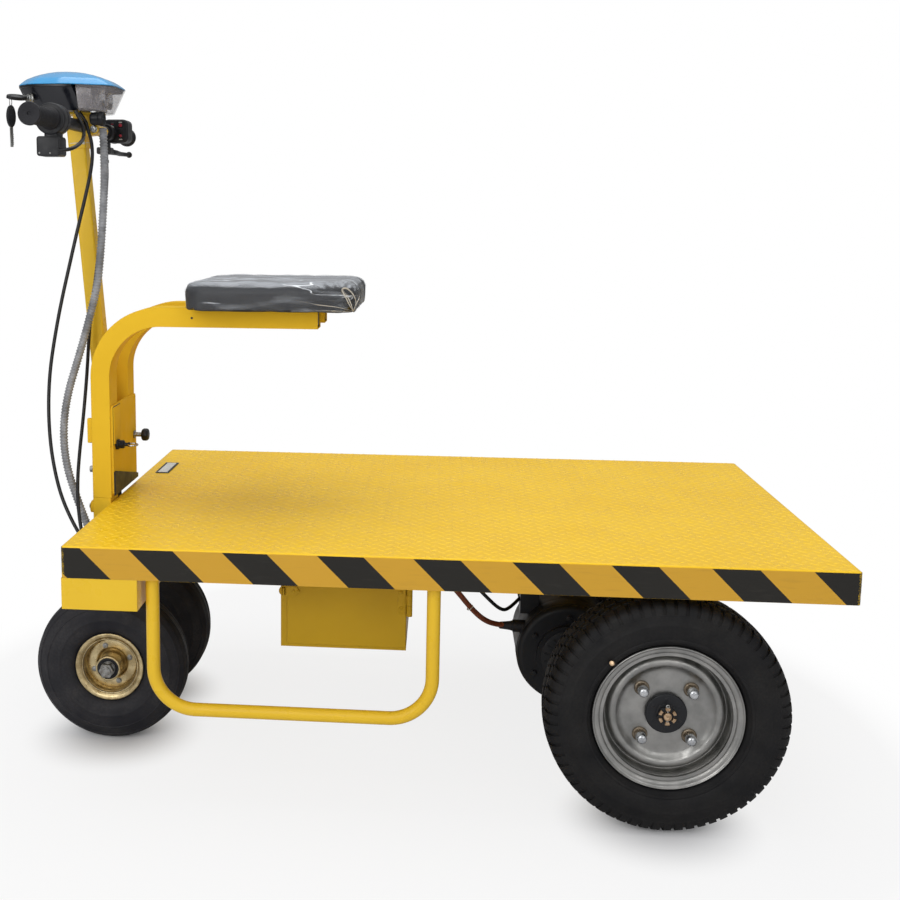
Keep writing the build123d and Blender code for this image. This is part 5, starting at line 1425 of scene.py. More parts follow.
@dataclass
class SeatMast:
    """The swivelling mast: two bent tubes, the web, the gusset, the lock plunger and the knob."""

    back_x: float = -570.5
    front_x: float = -535.5
    bottom: float = 458.0
    pivot_y: float = -80.0
    right_y: tuple[float, float] = (-105.0, -55.0)
    left_y: tuple[float, float] = (25.0, 68.0)
    arm_end_x: float = -152.5
    arm_top: float = 813.0
    plunger_z: float = 555.0
    knob_z: float = 550.0

    def build(self) -> None:
        """Build and dress the mast."""
        finish_nodes(MAST_YELLOW, "seat_mast_right", "seat_mast_left", "seat_web", "seat_base")
        finish_nodes(BLACK_STEEL, "seat_gusset")
        finish_nodes(BOARD_PLY, "seat_board")
        self.welds()
        self.lugs()
        self.plunger()
        self.knob()
        self.arm_fixings()

    def welds(self) -> None:
        """Weld the web to the tubes and the base to the deck."""
        piece = Piece()
        x = self.front_x + 0.6
        piece.weld([(x, -100.5, 470), (x, -100.5, 624)], 1.7)
        piece.weld([(x, 63.5, 470), (x, 63.5, 624)], 1.7)
        piece.weld([(x + 0.4, -53, 630.4), (x + 0.4, 22, 630.4)], 0.9)
        piece.make("mast_welds", MAST_YELLOW, "seat", sharp=60)
        base = Piece()
        base.weld([(-538.0, -105.6, 402), (-538.0, -105.6, 446)], 1.8)
        base.weld([(-538.0, -54.4, 402), (-538.0, -54.4, 446)], 1.8)
        base.weld([(-569, -105.4, 400.6), (-540, -105.4, 400.6)], 1.4)
        base.make("seat_base_welds", MAST_YELLOW, "chassis", sharp=60)

    def lugs(self) -> None:
        """Set the lug and the bolt on the back of the near tube, and the lock's keeper strip on the web over a
        black sheet whose rim is painted shade of the gap round the strip.
        """
        piece = Piece()
        upper = stand((self.back_x, -96.0, 583.0), (-1, 0, 0), (0, -1, 0))
        piece.prism(rounded_box(9, 46, 1.5, 3), 9.5, upper, 0, ease=0.9)
        bolt = stand((self.back_x, -94.0, 510.0), (-1, 0, 0), (0, -1, 0))
        piece.bolt(bolt, 11, 6, 1)
        # Keeper strip of the lock, on the web beside the near tube, over a thin black sheet whose rim is painted
        # shade of the gap round the strip
        strip = stand((self.front_x + 3.6, -75.0, 592.0), (1, 0, 0), (0, 1, 0))
        piece.prism(rounded_box(50, 72, 1.5, 3), 0.5, strip, 2)
        piece.prism(rounded_box(46, 69, 1.5, 3), 2.2, strip, 0, ease=0.8)
        piece.make("mast_lugs", (MAST_YELLOW, BOLT_ZINC, BLACK_STEEL), "seat")
        base = Piece()
        spot = stand((-570.4, -80.0, 436.0), (-1, 0, 0), (0, -1, 0))
        base.bolt(moved(spot, 0, 0, 8.6), 9, 4, 0)
        base.make("seat_base_bolt", BOLT_ZINC, "chassis")

    def plunger(self) -> None:
        """Build the spring plunger: threaded barrel, lock nut, pin and pull ring."""
        place = stand((self.front_x + 4, self.pivot_y, self.plunger_z), (1, 0, 0), (0, 1, 0))
        piece = Piece()
        piece.prism(circle(10.4, 6), 5.5, place, 0, ease=0.8)
        profile = [(8.0, 5.0)]
        for i in range(6):
            profile += [(8.0, 5.6 + i * 1.4), (7.2, 6.3 + i * 1.4)]
        profile += [(7.8, 14.2), (6.0, 15.6), (3.6, 15.8), (3.4, 22.0), (4.4, 22.6), (4.4, 25.6), (0, 26)]
        piece.lathe([(0, 5.0)] + profile, place, 0, 32)
        ring = [place @ Vector((12.2 * sin(a), 0.6 * cos(a) - 0.2, 31 + 9.6 * cos(a) * -1)) for a in angles(40)]
        middle = place @ Vector((0, 0, 33.5))
        ring = [middle + (p - middle) * 0.92 for p in ring]
        piece.tube(ring, 1.5, 1, 10, ring=True)
        piece.make("seat_plunger", (BLACK_STEEL, CHROME), "seat", ["seat_latch"])

    def knob(self) -> None:
        """Build the clamping knob with its soft lobes and its stud."""
        place = stand((self.front_x + 4, self.left_y[1] - 20, self.knob_z), (1, 0, 0), (0, 1, 0))
        piece = Piece()
        piece.lathe(eased([(0, 0), (8.0, 0), (8.0, 2.4), (4.5, 2.6), (4.5, 16.5), (0, 16.5)], 0.5), place, 1, 28)
        rings = [
            (0.0, 0.72), (1.8, 0.93), (4.0, 1.0), (9.0, 1.0), (11.6, 0.93), (13.2, 0.76), (13.9, 0.45),
            (14.0, 0.05)
        ]
        count = 60
        loops = []
        for height, size in rings:
            sizes = [
                12.5 * size * (
                    1 - 0.055 * (1 - cos(6 * a)) / 2 * (1 if size > 0.6 else 0.4)
                ) for a in angles(count)
            ]
            loops.append([(r * cos(a), r * sin(a), 16 + height) for r, a in zip(sizes, angles(count))])
        piece.loft(loops, place)
        piece.make("seat_knob_moulded", (BLACK_NYLON, TURNED_STEEL), "seat", ["seat_knob"], sharp=60)

    def arm_fixings(self) -> None:
        """Set black plugs inside the arms' open ends as painted shade of the tubes' hollows, the screws that hold
        the seat board, and a black disc on the near arm as painted shade of a small hole.
        """
        piece = Piece()
        for low, high in (self.right_y, self.left_y):
            middle = (low + high) / 2
            # A black plug 6 mm inside the open end: painted shade of the tube's hollow
            hollow_shade_plug = stand((self.arm_end_x - 6, middle, self.arm_top - 17.5), (1, 0, 0), (0, 1, 0))
            piece.prism(rounded_box(high - low - 5.4, 29.4, 1.5, 3), 3.4, hollow_shade_plug, 0, ease=0.8)
            for x in (-178.0, -282.0):
                spot = stand((x, middle, self.arm_top - 35.0), (0, 0, -1))
                piece.screw(spot, 4.0, 1)
        # A black disc on the near arm's side: painted shade of a small hole
        hole_shade_disc = stand((-381.0, self.right_y[0], 795.0), (0, -1, 0))
        piece.lathe([(2.2, 0), (2.0, 0.2), (0, 0.2)], hole_shade_disc, 0, 20)
        piece.make("arm_fixings", (BLACK_NYLON, BOLT_ZINC), "seat")


@dataclass
class Cushion:
    """The square seat cushion: a swollen, stitched cover with its transport film still on."""

    middle: tuple[float, float] = (-228.5, -20.0)
    size: float = 315.0
    spread: float = 9.0  # how far the stuffing pushes the cover out towards the mast
    bottom: float = 813.4
    board_top: float = 819.3
    top: float = 862.0
    corner: float = 36.0
    voxel: float = 5.0
    pressure: float = 4.0
    cap: float = 6.0
    frames: int = 20
    board_half: float = 141.0
    gather: tuple[float, float, float] = (-84.0, -165.0, 822.0)

    def build(self) -> None:
        """Build the cover and its film."""
        self.film(self.swollen_pad())

    def swollen_pad(self) -> bpy.types.Object:
        """Blow up a slightly small start shape with cloth pressure and dress it as the cover.

        Returns:
            The cover's object.
        """
        start = Piece()
        inset = 5.0
        outline = rounded_box(self.size - 2 * inset, self.size - 2 * inset, self.corner, 6)
        place = stand((*self.middle, self.board_top))
        start.prism(outline, self.top - self.board_top - inset, place, 0, ease=9)
        pad = start.make("seat_cushion_cover", SEAT_VINYL, "seat", ["seat_cushion"], sharp=180)
        remesh = pad.modifiers.new("remesh", "REMESH")
        remesh.mode = "VOXEL"
        remesh.voxel_size = self.voxel * MM
        remesh.use_smooth_shade = True
        self.settle(pad)
        before = [v.co.copy() for v in pad.data.vertices]
        cloth = pad.modifiers.new("cloth", "CLOTH")
        cloth.settings.quality = 5
        cloth.settings.use_pressure = True
        cloth.settings.uniform_pressure_force = self.pressure
        cloth.settings.effector_weights.gravity = 0
        scene = bpy.context.scene
        for step in range(1, self.frames + 1):
            scene.frame_set(step)
        self.settle(pad)
        scene.frame_set(1)
        for old, vertex in zip(before, pad.data.vertices):
            move = vertex.co - old
            if move.length > self.cap * MM:
                vertex.co = old + move.normalized() * self.cap * MM
            self.hold_in(vertex)
        smooth = pad.modifiers.new("soften", "SUBSURF")
        smooth.levels = 1
        smooth.render_levels = 1
        self.settle(pad)
        for vertex in pad.data.vertices:
            self.sewn_line(vertex)
        pad.data.shade_smooth()
        return pad

    def settle(self, obj: bpy.types.Object) -> None:
        """Apply every modifier of an object to its mesh."""
        graph = bpy.context.evaluated_depsgraph_get()
        made = bpy.data.meshes.new_from_object(obj.evaluated_get(graph))
        obj.modifiers.clear()
        obj.data = made

    def hold_in(self, vertex: bpy.types.MeshVertex) -> None:
        """Keep a point inside the CAD solid's space, flat where it rests on the board."""
        half = self.size / 2 - 0.3
        dx = vertex.co.x / MM - self.middle[0]
        dy = vertex.co.y / MM - self.middle[1]
        dx = max(-half - self.spread, min(half, dx - self.spread * max(0.0, -dx) / half))
        dy = max(-half, min(half, dy))
        z = min(vertex.co.z / MM, self.top + 3.0)
        if z < self.board_top + 4 and max(abs(dx), abs(dy)) < self.board_half - 4:
            z = self.board_top
        if z < self.board_top + 8 and max(abs(dx), abs(dy)) > self.board_half:
            z = max(self.bottom - 1.5, z - 7.6)
        vertex.co = Vector((dx + self.middle[0], dy + self.middle[1], z)) * MM

    def sewn_line(self, vertex: bpy.types.MeshVertex) -> None:
        """Draw the cover in where the top panel is sewn to the side band."""
        level = vertex.co.z / MM
        rise = abs(level - (self.top - 10.5))
        dx = vertex.co.x / MM - self.middle[0]
        dy = vertex.co.y / MM - self.middle[1]
        if rise < 4 and max(abs(dx), abs(dy)) > self.size / 2 - 26:
            pull = 1.1 * (1 - rise / 4)
            flat = Vector((dx, dy, 0)).normalized()
            vertex.co -= flat * pull * MM
        if abs(dx) < self.board_half and abs(dy) < self.board_half and level > self.top - 6:
            # Soft dimples of foam under the cover
            vertex.co.z += 0.9 * MM * noise.noise(Vector((dx / 70, dy / 70, 0.5)))

    def film(self, pad: bpy.types.Object) -> None:
        """Wrap the cover in thin film, creased towards the near front corner where it is gathered.

        Args:
            pad: The cover, whose shape the film follows.
        """
        mesh = pad.data.copy()
        mesh.name = "seat_film"
        bm = bmesh.new()
        bm.from_mesh(mesh)
        low = [f for f in bm.faces if f.calc_center_median().z < (self.bottom + 2.2) * MM]
        flat = [f for f in bm.faces if f.normal.z < -0.5]
        bmesh.ops.delete(bm, geom=list(set(low + flat)), context="FACES")
        bm.normal_update()
        tip = Vector(self.gather) * MM
        moves = {}
        for vertex in bm.verts:
            away = (vertex.co - tip).length / MM
            ray = (vertex.co - tip).normalized()
            fan = sin(atan2(ray.z, ray.x) * 16 + 4 * noise.noise(vertex.co * 18))
            crease = max(0.0, 1 - away / 120) * (1 - abs(fan)) * 3.2
            folds = abs(noise.noise(Vector((vertex.co.x * 21, vertex.co.y * 21, vertex.co.z * 55)))) * 3.4
            moves[vertex] = vertex.normal * (0.7 + folds + crease) * MM
        for vertex, move in moves.items():
            vertex.co += move
        bm.to_mesh(mesh)
        bm.free()
        mesh.materials.clear()
        mesh.materials.append(SEAT_FILM.material())
        mesh.shade_smooth()
        obj = bpy.data.objects.new("seat_film", mesh)
        bpy.context.scene.collection.objects.link(obj)
        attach(obj, "seat")
        log.info("seat_film: %d faces", len(mesh.polygons))
        self.gathered_corner()

    def gathered_corner(self) -> None:
        """Bunch the film's spare length at the near front corner: a pale loop and ridges that run out from it."""
        piece = Piece()
        x, y, z = self.gather
        ridges = (
            (
                1.5,
                (
                    (0, -6, -6), (-8, -8.5, 8), (-15, -8, 22), (-21, -6.5, 33), (-12, -6, 35), (0, -5, 24),
                    (5, -3, 10), (1, -5, -5)
                )
            ),
            (1.1, ((0, -6.5, -5), (-4, -8.5, 8), (-10, -8.5, 20), (-18, -7, 31))),
            (0.8, ((0, -6, -5), (4, -4, 6), (9, 2, 16), (11, 10, 27))),
            (0.7, ((-2, -7, -4), (-30, -8.5, 2), (-62, -8, 5), (-98, -7.5, 12))),
            (0.6, ((-2, -7, -6), (-34, -8, -5), (-70, -7.5, -4)))
        )
        for radius, run in ridges:
            line = eased([(x + p[0], y + p[1], z + p[2]) for p in run], 7, 5)
            sizes = [radius * sin(pi * (0.12 + 0.84 * k / (len(line) - 1))) for k in range(len(line))]
            piece.tube(line, sizes, 0, 8)
        piece.make("seat_film_gather", FILM_BUNCH, "seat", sharp=180)


@dataclass
class Handlebar:
    """The bar: grips, throttle drum, control box, switch box, brake lever and clamp."""

    x: float = -602.5
    z: float = 1140.0
    half: float = 300.0
    grip_length: float = 103.0
    throttle_y: float = -180.7
    throttle_width: float = 38.0
    switch_y: float = 180.7
    lever_y: float = 148.7
    steer_x: float = -561.5  # where the leaning axis crosses the deck's height
    steer_tilt: float = 4.5

    def build(self) -> None:
        """Build and dress the bar."""
        finish_nodes(BLACK_STEEL, "handlebar")
        finish_nodes(YELLOW, "steering_column", "bar_clamp")
        finish_nodes(TURNED_STEEL, "steering_stem")
        for side in Side:
            self.grip(side)
        self.throttle()
        self.switches()
        self.lever()
        self.clamp_fixings()

    def grip(self, side: Side) -> None:
        """Turn a grip: a flange at each end, fine ribs and an end cap with a small hole."""
        start = self.half + 3 - self.grip_length
        place = outboard(self.x, 0, self.z, side)
        profile = [
            (11.1, start), (18.4, start), (19.0, start + 1.0), (19.0, start + 4.2), (17.6, start + 6.4),
            (15.4, start + 8)
        ]
        count = 22
        first, last = start + 10, self.half - 8
        for i in range(count):
            h = first + (last - first) * i / (count - 1)
            profile += [(15.1, h - 1.3), (16.0, h - 0.6), (16.0, h + 0.6), (15.1, h + 1.3)]
        end = self.half + 3
        profile += [
            (15.6, end - 9), (18.2, end - 6.2), (19.0, end - 4.6), (19.0, end - 1.2), (18.2, end), (4.2, end)
        ]
        profile += [(3.0, end - 0.6), (3.0, end - 2.6), (0, end - 2.6)]
        piece = Piece().lathe(profile, place, 0, 64)
        piece.make(f"grip_rubber_{side.word}", GRIP_RUBBER, "steering", [f"grip_{side.word}"], sharp=42)

    def throttle(self) -> None:
        """Build the throttle: a drum in two halves, a saddle and the control box with its screws."""
        piece = Piece()
        near = self.throttle_y - self.throttle_width / 2
        place = stand((self.x, near, self.z), (0, 1, 0), (1, 0, 0))
        drum = [
            (11.2, 0), (24.5, 0), (26.6, 1.8), (27.0, 4), (27.0, 17.4), (26.2, 18.2), (26.2, 19.4), (27.0, 20.2),
            (27.0, 34), (25.6, 37.2), (23.8, 38), (11.2, 38)
        ]
        piece.lathe(eased(drum, 1.2, 2), place, 0, 80)
        for i in range(28):
            a = 2 * pi * i / 28
            rib = place @ Matrix.Rotation(a, 4, "Z") @ Matrix.Translation((26.6, 0, 22))
            piece.prism(rounded_box(1.6, 2.6, 0.7, 2), 11, rib, 0)
        box = stand((self.x - 4, near + 1, self.z - 46), (0, 1, 0), (1, 0, 0))
        piece.prism(rounded_box(41, 33.6, 5, 5), 36, box, 0, ease=2.5)
        lid = stand((self.x - 4, near + 1.4, self.z - 46), (0, -1, 0), (1, 0, 0))
        piece.prism(rounded_box(38, 31, 4, 5), 1.6, lid, 0, ease=0.8)
        for dx in (-15.5, 3.0):
            piece.screw(stand((self.x - 4 + dx, near - 0.2, self.z - 57.5), (0, -1, 0)), 1.7, 1)
        neck = stand((self.x, self.throttle_y, self.z - 30), (0, 0, 1), (1, 0, 0))
        piece.prism(rounded_box(24, 33, 4, 4), 9, neck, 0)
        piece.make("throttle_moulded", (BLACK_NYLON, BOLT_ZINC), "steering", ["throttle_housing"])

    def switches(self) -> None:
        """Build the switch box: a rounded case, a parting line, red buttons and pale marks."""
        piece = Piece()
        near = self.switch_y - self.throttle_width / 2
        place = stand((self.x + 14, near + 2.2, self.z + 4), (0, 1, 0), (1, 0, 0))
        piece.prism(rounded_box(49.4, 45.4, 10, 6), 16, place, 0)
        piece.prism(rounded_box(49.4, 45.4, 10, 6), 18.8, moved(place, 0, 0, 16.9), 0, ease=2.5)
        piece.prism(
            rounded_box(47, 43, 9, 6), 2.2, stand((self.x + 14, near + 2.3, self.z + 4), (0, -1, 0), (1, 0, 0)),
            0, ease=2.0
        )
        piece.prism(rounded_box(46.6, 42.6, 9, 6), 3, moved(place, 0, 0, 15), 0)
        for dz, mark, r in ((11.0, 1, 3.4), (-9.5, 1, 2.8), (1.0, 0, 4.2)):
            spot = stand((self.x + 24, near + 0.4, self.z + 4 + dz), (0, -1, 0), (1, 0, 0))
            piece.lathe(eased([(0, 0), (r + 1.6, 0), (r + 1.4, 1.2), (r + 0.3, 1.3)], 0.4, 2), spot, 0, 32)
            piece.lathe(eased([(r, 0.4), (r, 2.4), (r - 0.8, 3.2), (0, 3.5)], 0.6, 2), spot, mark, 32)
        for dz in (17.0, -16.5):
            spot = stand((self.x + 24, near + 0.2, self.z + 4 + dz), (0, -1, 0), (1, 0, 0))
            piece.prism(rounded_box(7, 1.4, 0.5, 2), 0.35, spot, 2)
        rocker = stand((self.x + 8, near + 0.5, self.z + 14), (0, -1, 0), (1, 0, 0))
        piece.prism(rounded_box(9, 13, 1.6, 3), 2.8, rocker, 0, draw=0.86, ease=0.8)
        piece.prism(rounded_box(5, 1.2, 0.4, 2), 0.3, moved(rocker, 0, 3, 2.7), 1)
        piece.make("switch_box_moulded", (BLACK_NYLON, BUTTON_RED, PLATE_PALE), "steering", ["switch_box"])

    def lever(self) -> None:
        """Build the brake lever: clamp, pivot block and a cast blade with a ball at its end."""
        piece = Piece()
        y = self.lever_y
        place = stand((self.x, y - 11.5, self.z), (0, 1, 0), (1, 0, 0))
        piece.lathe(eased([(11.2, 0), (16.0, 0), (16.0, 23), (11.2, 23)], 1.4), place, 0, 48)
        block = stand((self.x - 4, y - 11.5, self.z - 36), (0, 1, 0), (1, 0, 0))
        piece.prism(rounded_box(29, 13.6, 3.5, 4), 23, block, 0, ease=1.5)
        neck = stand((self.x - 2, y, self.z - 31), (0, 0, 1), (1, 0, 0))
        piece.prism(rounded_box(13.6, 22, 3, 4), 16, neck, 0)
        piece.bolt(stand((self.x + 9, y, self.z + 8.4), (0.5, 0, 0.8)), 6, 3.4, 2)
        piece.lathe(
            eased([(0, 0), (5.2, 0), (5.2, 1.4), (3.6, 2.6), (0, 2.8)], 0.5, 2),
            stand((self.x - 4, y + 2, self.z - 43), (0, 0, -1)), 2, 24
        )
        # Cable adjuster that points down into the cable
        adjust = [(3.6, 0), (3.6, 3)]
        for i in range(7):
            adjust += [(3.6, 3.2 + i * 1.3), (3.0, 3.9 + i * 1.3)]
        piece.lathe(
            [(0, 0)] + adjust + [(4.6, 13), (4.6, 18), (3.4, 19), (0, 19)],
            stand((self.x - 2, 150, self.z - 41), (0, 0, -1)), 2, 24
        )
        centre = [
            (self.x - 4, y - 4, self.z - 37), (self.x + 6, y + 40, self.z - 37),
            (self.x - 2, y + 100, self.z - 37), (self.x + 8, y + 136, self.z - 37)
        ]
        line = eased(centre, 26, 7)
        sizes = [5.8 - 1.6 * k / (len(line) - 1) for k in range(len(line))]
        piece.tube(line, sizes, 1, 16)
        ball = line[-1]
        dome = [(6.4 * cos(radians(a)), 6.4 * sin(radians(a))) for a in range(-90, 91, 15)]
        piece.lathe(dome, stand(ball, (0, 0, 1)), 1, 28)
        piece.make("brake_lever_cast", (BLACK_NYLON, BLACK_STEEL, BOLT_ZINC), "steering", ["brake_lever"])

    def clamp_fixings(self) -> None:
        """Set the pinch bolt through the clamp's boss and the tie round the column."""
        piece = Piece()
        for side in Side:
            spot = outboard(-575.5, 32.0, 1134.0, side)
            piece.bolt(spot, 10, 5.5, 0)
        c = cos(radians(self.steer_tilt))
        s = sin(radians(self.steer_tilt))
        tie = Matrix(((c, 0, -s), (0, 1, 0), (s, 0, c))).to_4x4()
        tie.translation = Vector((self.steer_x - 660 * s / c, 0, 1110))
        band = [tie @ Vector((x, y, 0)) for x, y in rounded_box(33, 33, 4.5, 3)]
        piece.tube(band, 0.9, 1, 8, ring=True)
        piece.prism(rounded_box(5, 6, 1, 2), 5, stand((-600, -17.4, 1110), (0, -1, 0), (0, 0, 1)), 1, ease=0.6)
        piece.make("clamp_fixings", (BOLT_ZINC, TIE_NYLON), "steering", sharp=45)


@dataclass
class Console:
    """The pod: black body, clear front lens over two reflectors, crowned blue cover, lock, keys and horn."""

    rear_x: float = -712.5
    length: float = 180.0
    half: float = 88.0
    bottom: float = 1165.0
    seam: float = 1210.0
    top: float = 1238.0
    lens_x: float = -594.5
    crest_x: float = -634.0

    def build(self) -> None:
        """Build and dress the pod."""
        finish_nodes(LENS_CLEAR, "headlight_lens")
        self.body()
        self.cover()
        self.lamps()
        self.horn()
        self.lock_and_keys()

    def outline(self, inset: float, rear: float, steps: int = 5) -> list[tuple[float, float]]:
        """Give the pod's outline in plan with softened corners.

        Args:
            inset: How far the sides come in.
            rear: How far the rear end comes in.
            steps: How many faces each corner gets.

        Returns:
            The outline's points.
        """
        left = self.rear_x + rear
        right = self.rear_x + self.length - inset
        half = self.half - inset
        corners = [
            (left, -half * 0.55), (left + 34, -half * 0.92), (left + 96, -half), (right - 8, -half * 0.66),
            (right, -half * 0.4), (right, half * 0.4), (right - 8, half * 0.66), (left + 96, half),
            (left + 34, half * 0.92), (left, half * 0.55)
        ]
        loop = [corners[-1]] + corners + [corners[0]]
        return eased(loop, 16, steps)[1:-1]

    def shell(
        self, piece: Piece, rings: Sequence[tuple[float, float, float]], mark: int, low: float, high: float
    ) -> None:
        """Loft the pod through rings of height, inset and rear inset.

        Args:
            piece: The piece that gets the shell.
            rings: Each ring's height, side inset and rear inset.
            mark: Which finish it takes.
            low: The lowest X, where the shell starts flat.
            high: The highest X, where the shell ends flat.
        """
        loops = []
        for z, inset, rear in rings:
            loop = [(max(low, min(x, high)), y, z) for x, y in self.outline(inset, rear)]
            loops.append(loop)
        piece.loft(loops, None, mark)

    def body(self) -> None:
        """Build the lower half: a raked bowl with a rolled seam lip and a screw boss under it."""
        piece = Piece()
        rings = [
            (self.bottom, 23.0, 19.0), (self.bottom + 1.2, 20.6, 16.8), (self.bottom + 4, 18.6, 14.8),
            (self.bottom + 22, 10.2, 8.2), (self.seam - 6, 2.2, 1.8), (self.seam - 4.6, 2.0, 1.6),
            (self.seam - 4.2, 0.6, 0.5), (self.seam - 0.5, 0.2, 0.2)
        ]
        self.shell(piece, rings, 0, self.rear_x, self.lens_x)
        piece.make("console_bowl", POD_BLACK, "steering", ["console_body"], sharp=40)

    def cover(self) -> None:
        """Build the blue cover: a full dome over the seam, with a crease half-way up and its crest to the rear."""
        base = self.outline(0.3, 0.3)
        rise = self.top - self.seam
        rings = [
            (0.1, 0.997), (1.4, 1.0), (5.0, 0.955), (9.5, 0.89), (13.2, 0.825), (14.0, 0.8), (18.2, 0.69),
            (22.0, 0.565), (25.4, 0.42), (27.8, 0.28), (29.4, 0.13), (rise + 0.1, 0.02)
        ]
        loops = [
            [(self.crest_x + (x - self.crest_x) * f, y * f, self.seam + z) for x, y in base] for z, f in rings
        ]
        piece = Piece().loft(loops)
        piece.make("console_cover_crowned", POD_BLUE, "steering", ["console_cover"], sharp=24)

    def lamps(self) -> None:
        """Build the chromed bowls, their bulbs and the metallised carrier behind the lens."""
        piece = Piece()
        middle_z = (self.bottom + self.seam) / 2 + 3
        for y in (-25.0, 25.0):
            place = stand((self.lens_x + 20, y, middle_z), (1, 0, 0), (0, 1, 0))
            bowl = [
                (3.5, 0), (9.0, 2.0), (14.0, 7.0), (17.0, 14.0), (17.8, 15.0), (18.2, 14.4), (15.0, 6.0),
                (9.6, 0.8), (3.5, -1.5)
            ]
            piece.lathe(bowl + [(3.5, 0)], place, 0, 48)
            piece.lathe(eased([(3.4, -1), (3.4, 9), (2.6, 11.4), (0, 12.2)], 1.0), place, 1, 24)
        # Metallised carrier that fills the lens behind the bowls, its clouds painted reflections, over a dark rim
        carrier = [(self.bottom + 5, 24.0, 24.0), (self.seam - 3, 7.0, 7.0)]
        self.shell(piece, carrier, 3, self.lens_x + 0.3, self.lens_x + 22)
        rim = [(self.seam - 5.2, 4.2, 4.2), (self.seam - 0.4, 3.2, 3.2)]
        self.shell(piece, rim, 2, self.lens_x + 0.3, self.rear_x + self.length - 4)
        piece.make("lamp_reflectors", (CHROME, PLATE_PALE, BLACK_NYLON, LAMP_SILVER), "steering")

    def horn(self) -> None:
        """Build the horn: a pressed can with a ringed mouth, a grille and its strap."""
        x, y, z = -578.5, -42.0, self.bottom - 13.3
        place = stand((x, y, z), (1, 0, 0), (0, 1, 0))
        can = [
            (0, 0), (8.0, 0), (10.6, 1.4), (11.6, 5.0), (11.6, 16.0), (13.0, 18.0), (13.0, 23.4), (12.2, 25.6),
            (10.8, 25.8), (10.2, 24.0), (0, 24.0)
        ]
        piece = Piece().lathe(eased(can, 0.9, 2), place, 0, 56)
        for r in (3.0, 5.4, 7.8):
            ring = [place @ Vector((r * cos(a), r * sin(a), 24.4)) for a in angles(36)]
            piece.tube(ring, 0.55, 0, 6, ring=True)
        for i in range(3):
            a = pi * i / 3
            ends = [place @ Vector((s * 10.4 * cos(a), s * 10.4 * sin(a), 24.6)) for s in (-1, 1)]
            piece.tube(ends, 0.6, 0, 6)
        strap = stand((x + 7, y, z + 11.0), (0, 0, 1), (1, 0, 0))
        piece.prism(rounded_box(12, 18, 2, 3), 2.4, strap, 1)
        piece.make("horn_can", (BLACK_STEEL, BOLT_ZINC), "steering", ["horn"])

    def key_head(self, piece: Piece, place: Matrix) -> None:
        """Add an oval key head, X along the key and Z square to its flat, with its ring hole's raised rim."""
        oval = [(19.5 * cos(2 * pi * i / 40), 8.6 * sin(2 * pi * i / 40)) for i in range(40)]
        for way in (1, -1):
            piece.prism(oval, way * 3.0, place, 1, ease=1.2)
        rim = [place @ Vector((13.8 + 2.2 * cos(a), 2.2 * sin(a), 3.0)) for a in angles(18)]
        piece.tube(rim, 0.6, 1, 6, ring=True)

    def lock_and_keys(self) -> None:
        """Build the lock's barrel with its key, and the spare key that hangs from it on a ring."""
        piece = Piece()
        way = Vector((-0.7, -0.714, 0)).normalized()
        origin = Vector((self.rear_x + 34, -self.half * 0.78, self.seam - 24))
        place = stand(origin, way, (0, 0, 1))
        piece.lathe(
            eased([(0, 0), (9.0, 0), (9.0, 2.2), (7.4, 3.4), (7.4, 7.4), (6.2, 8.2), (0, 8.2)], 0.6), place, 0, 40
        )
        blade = origin + way * 12
        piece.prism(rounded_box(8, 2.2, 0.6, 2), 10, stand(origin + way * 7.8, way, (0, 0, 1)), 0, ease=0.3)
        self.key_head(piece, stand(blade + way * 17.0, (0.3, -0.3, 0.9), way))
        ring_middle = blade + way * 29.0 + Vector((0, 0, -9.0))
        side = Vector((0, 0, 1)).cross(way)
        ring = [
            ring_middle + way * (2.6 * cos(a)) + Vector((0, 0, 9.6 * sin(a))) + side * 1.2 * cos(a)
            for a in angles(32)
        ]
        piece.tube(ring, 0.75, 0, 8, ring=True)
        hang = ring_middle + Vector((0, 0, -25.0))
        self.key_head(piece, stand(hang, (0.8, -0.6, 0), (0, 0, 1)))
        lower = stand(hang + Vector((0, 0, -18.0)), (0, 0, -1), (0.6, 0.8, 0))
        piece.prism(rounded_box(6.4, 2.0, 0.6, 2), 36, lower, 0, draw=0.9, ease=0.8)
        for i in range(6):
            tooth = stand(hang + Vector((1.8, 2.4, -31 - 3.4 * i)), (0, 0, -1), (0.6, 0.8, 0))
            piece.prism(rounded_box(2.4 - 0.5 * (i % 2), 1.6, 0.4, 2), 1.7, tooth, 0)
        piece.make("lock_and_keys", (BOLT_ZINC, BLACK_NYLON), "steering", ["ignition_lock"], sharp=45)


@dataclass
class Lead:
    """One line of the wiring: its CAD node, its size, what it is and the points of its route."""

    node: str
    diameter: float
    finish: Finish
    stuff: Stuff
    points: tuple
    body: str | None = None
    stiffness: str = "medium"


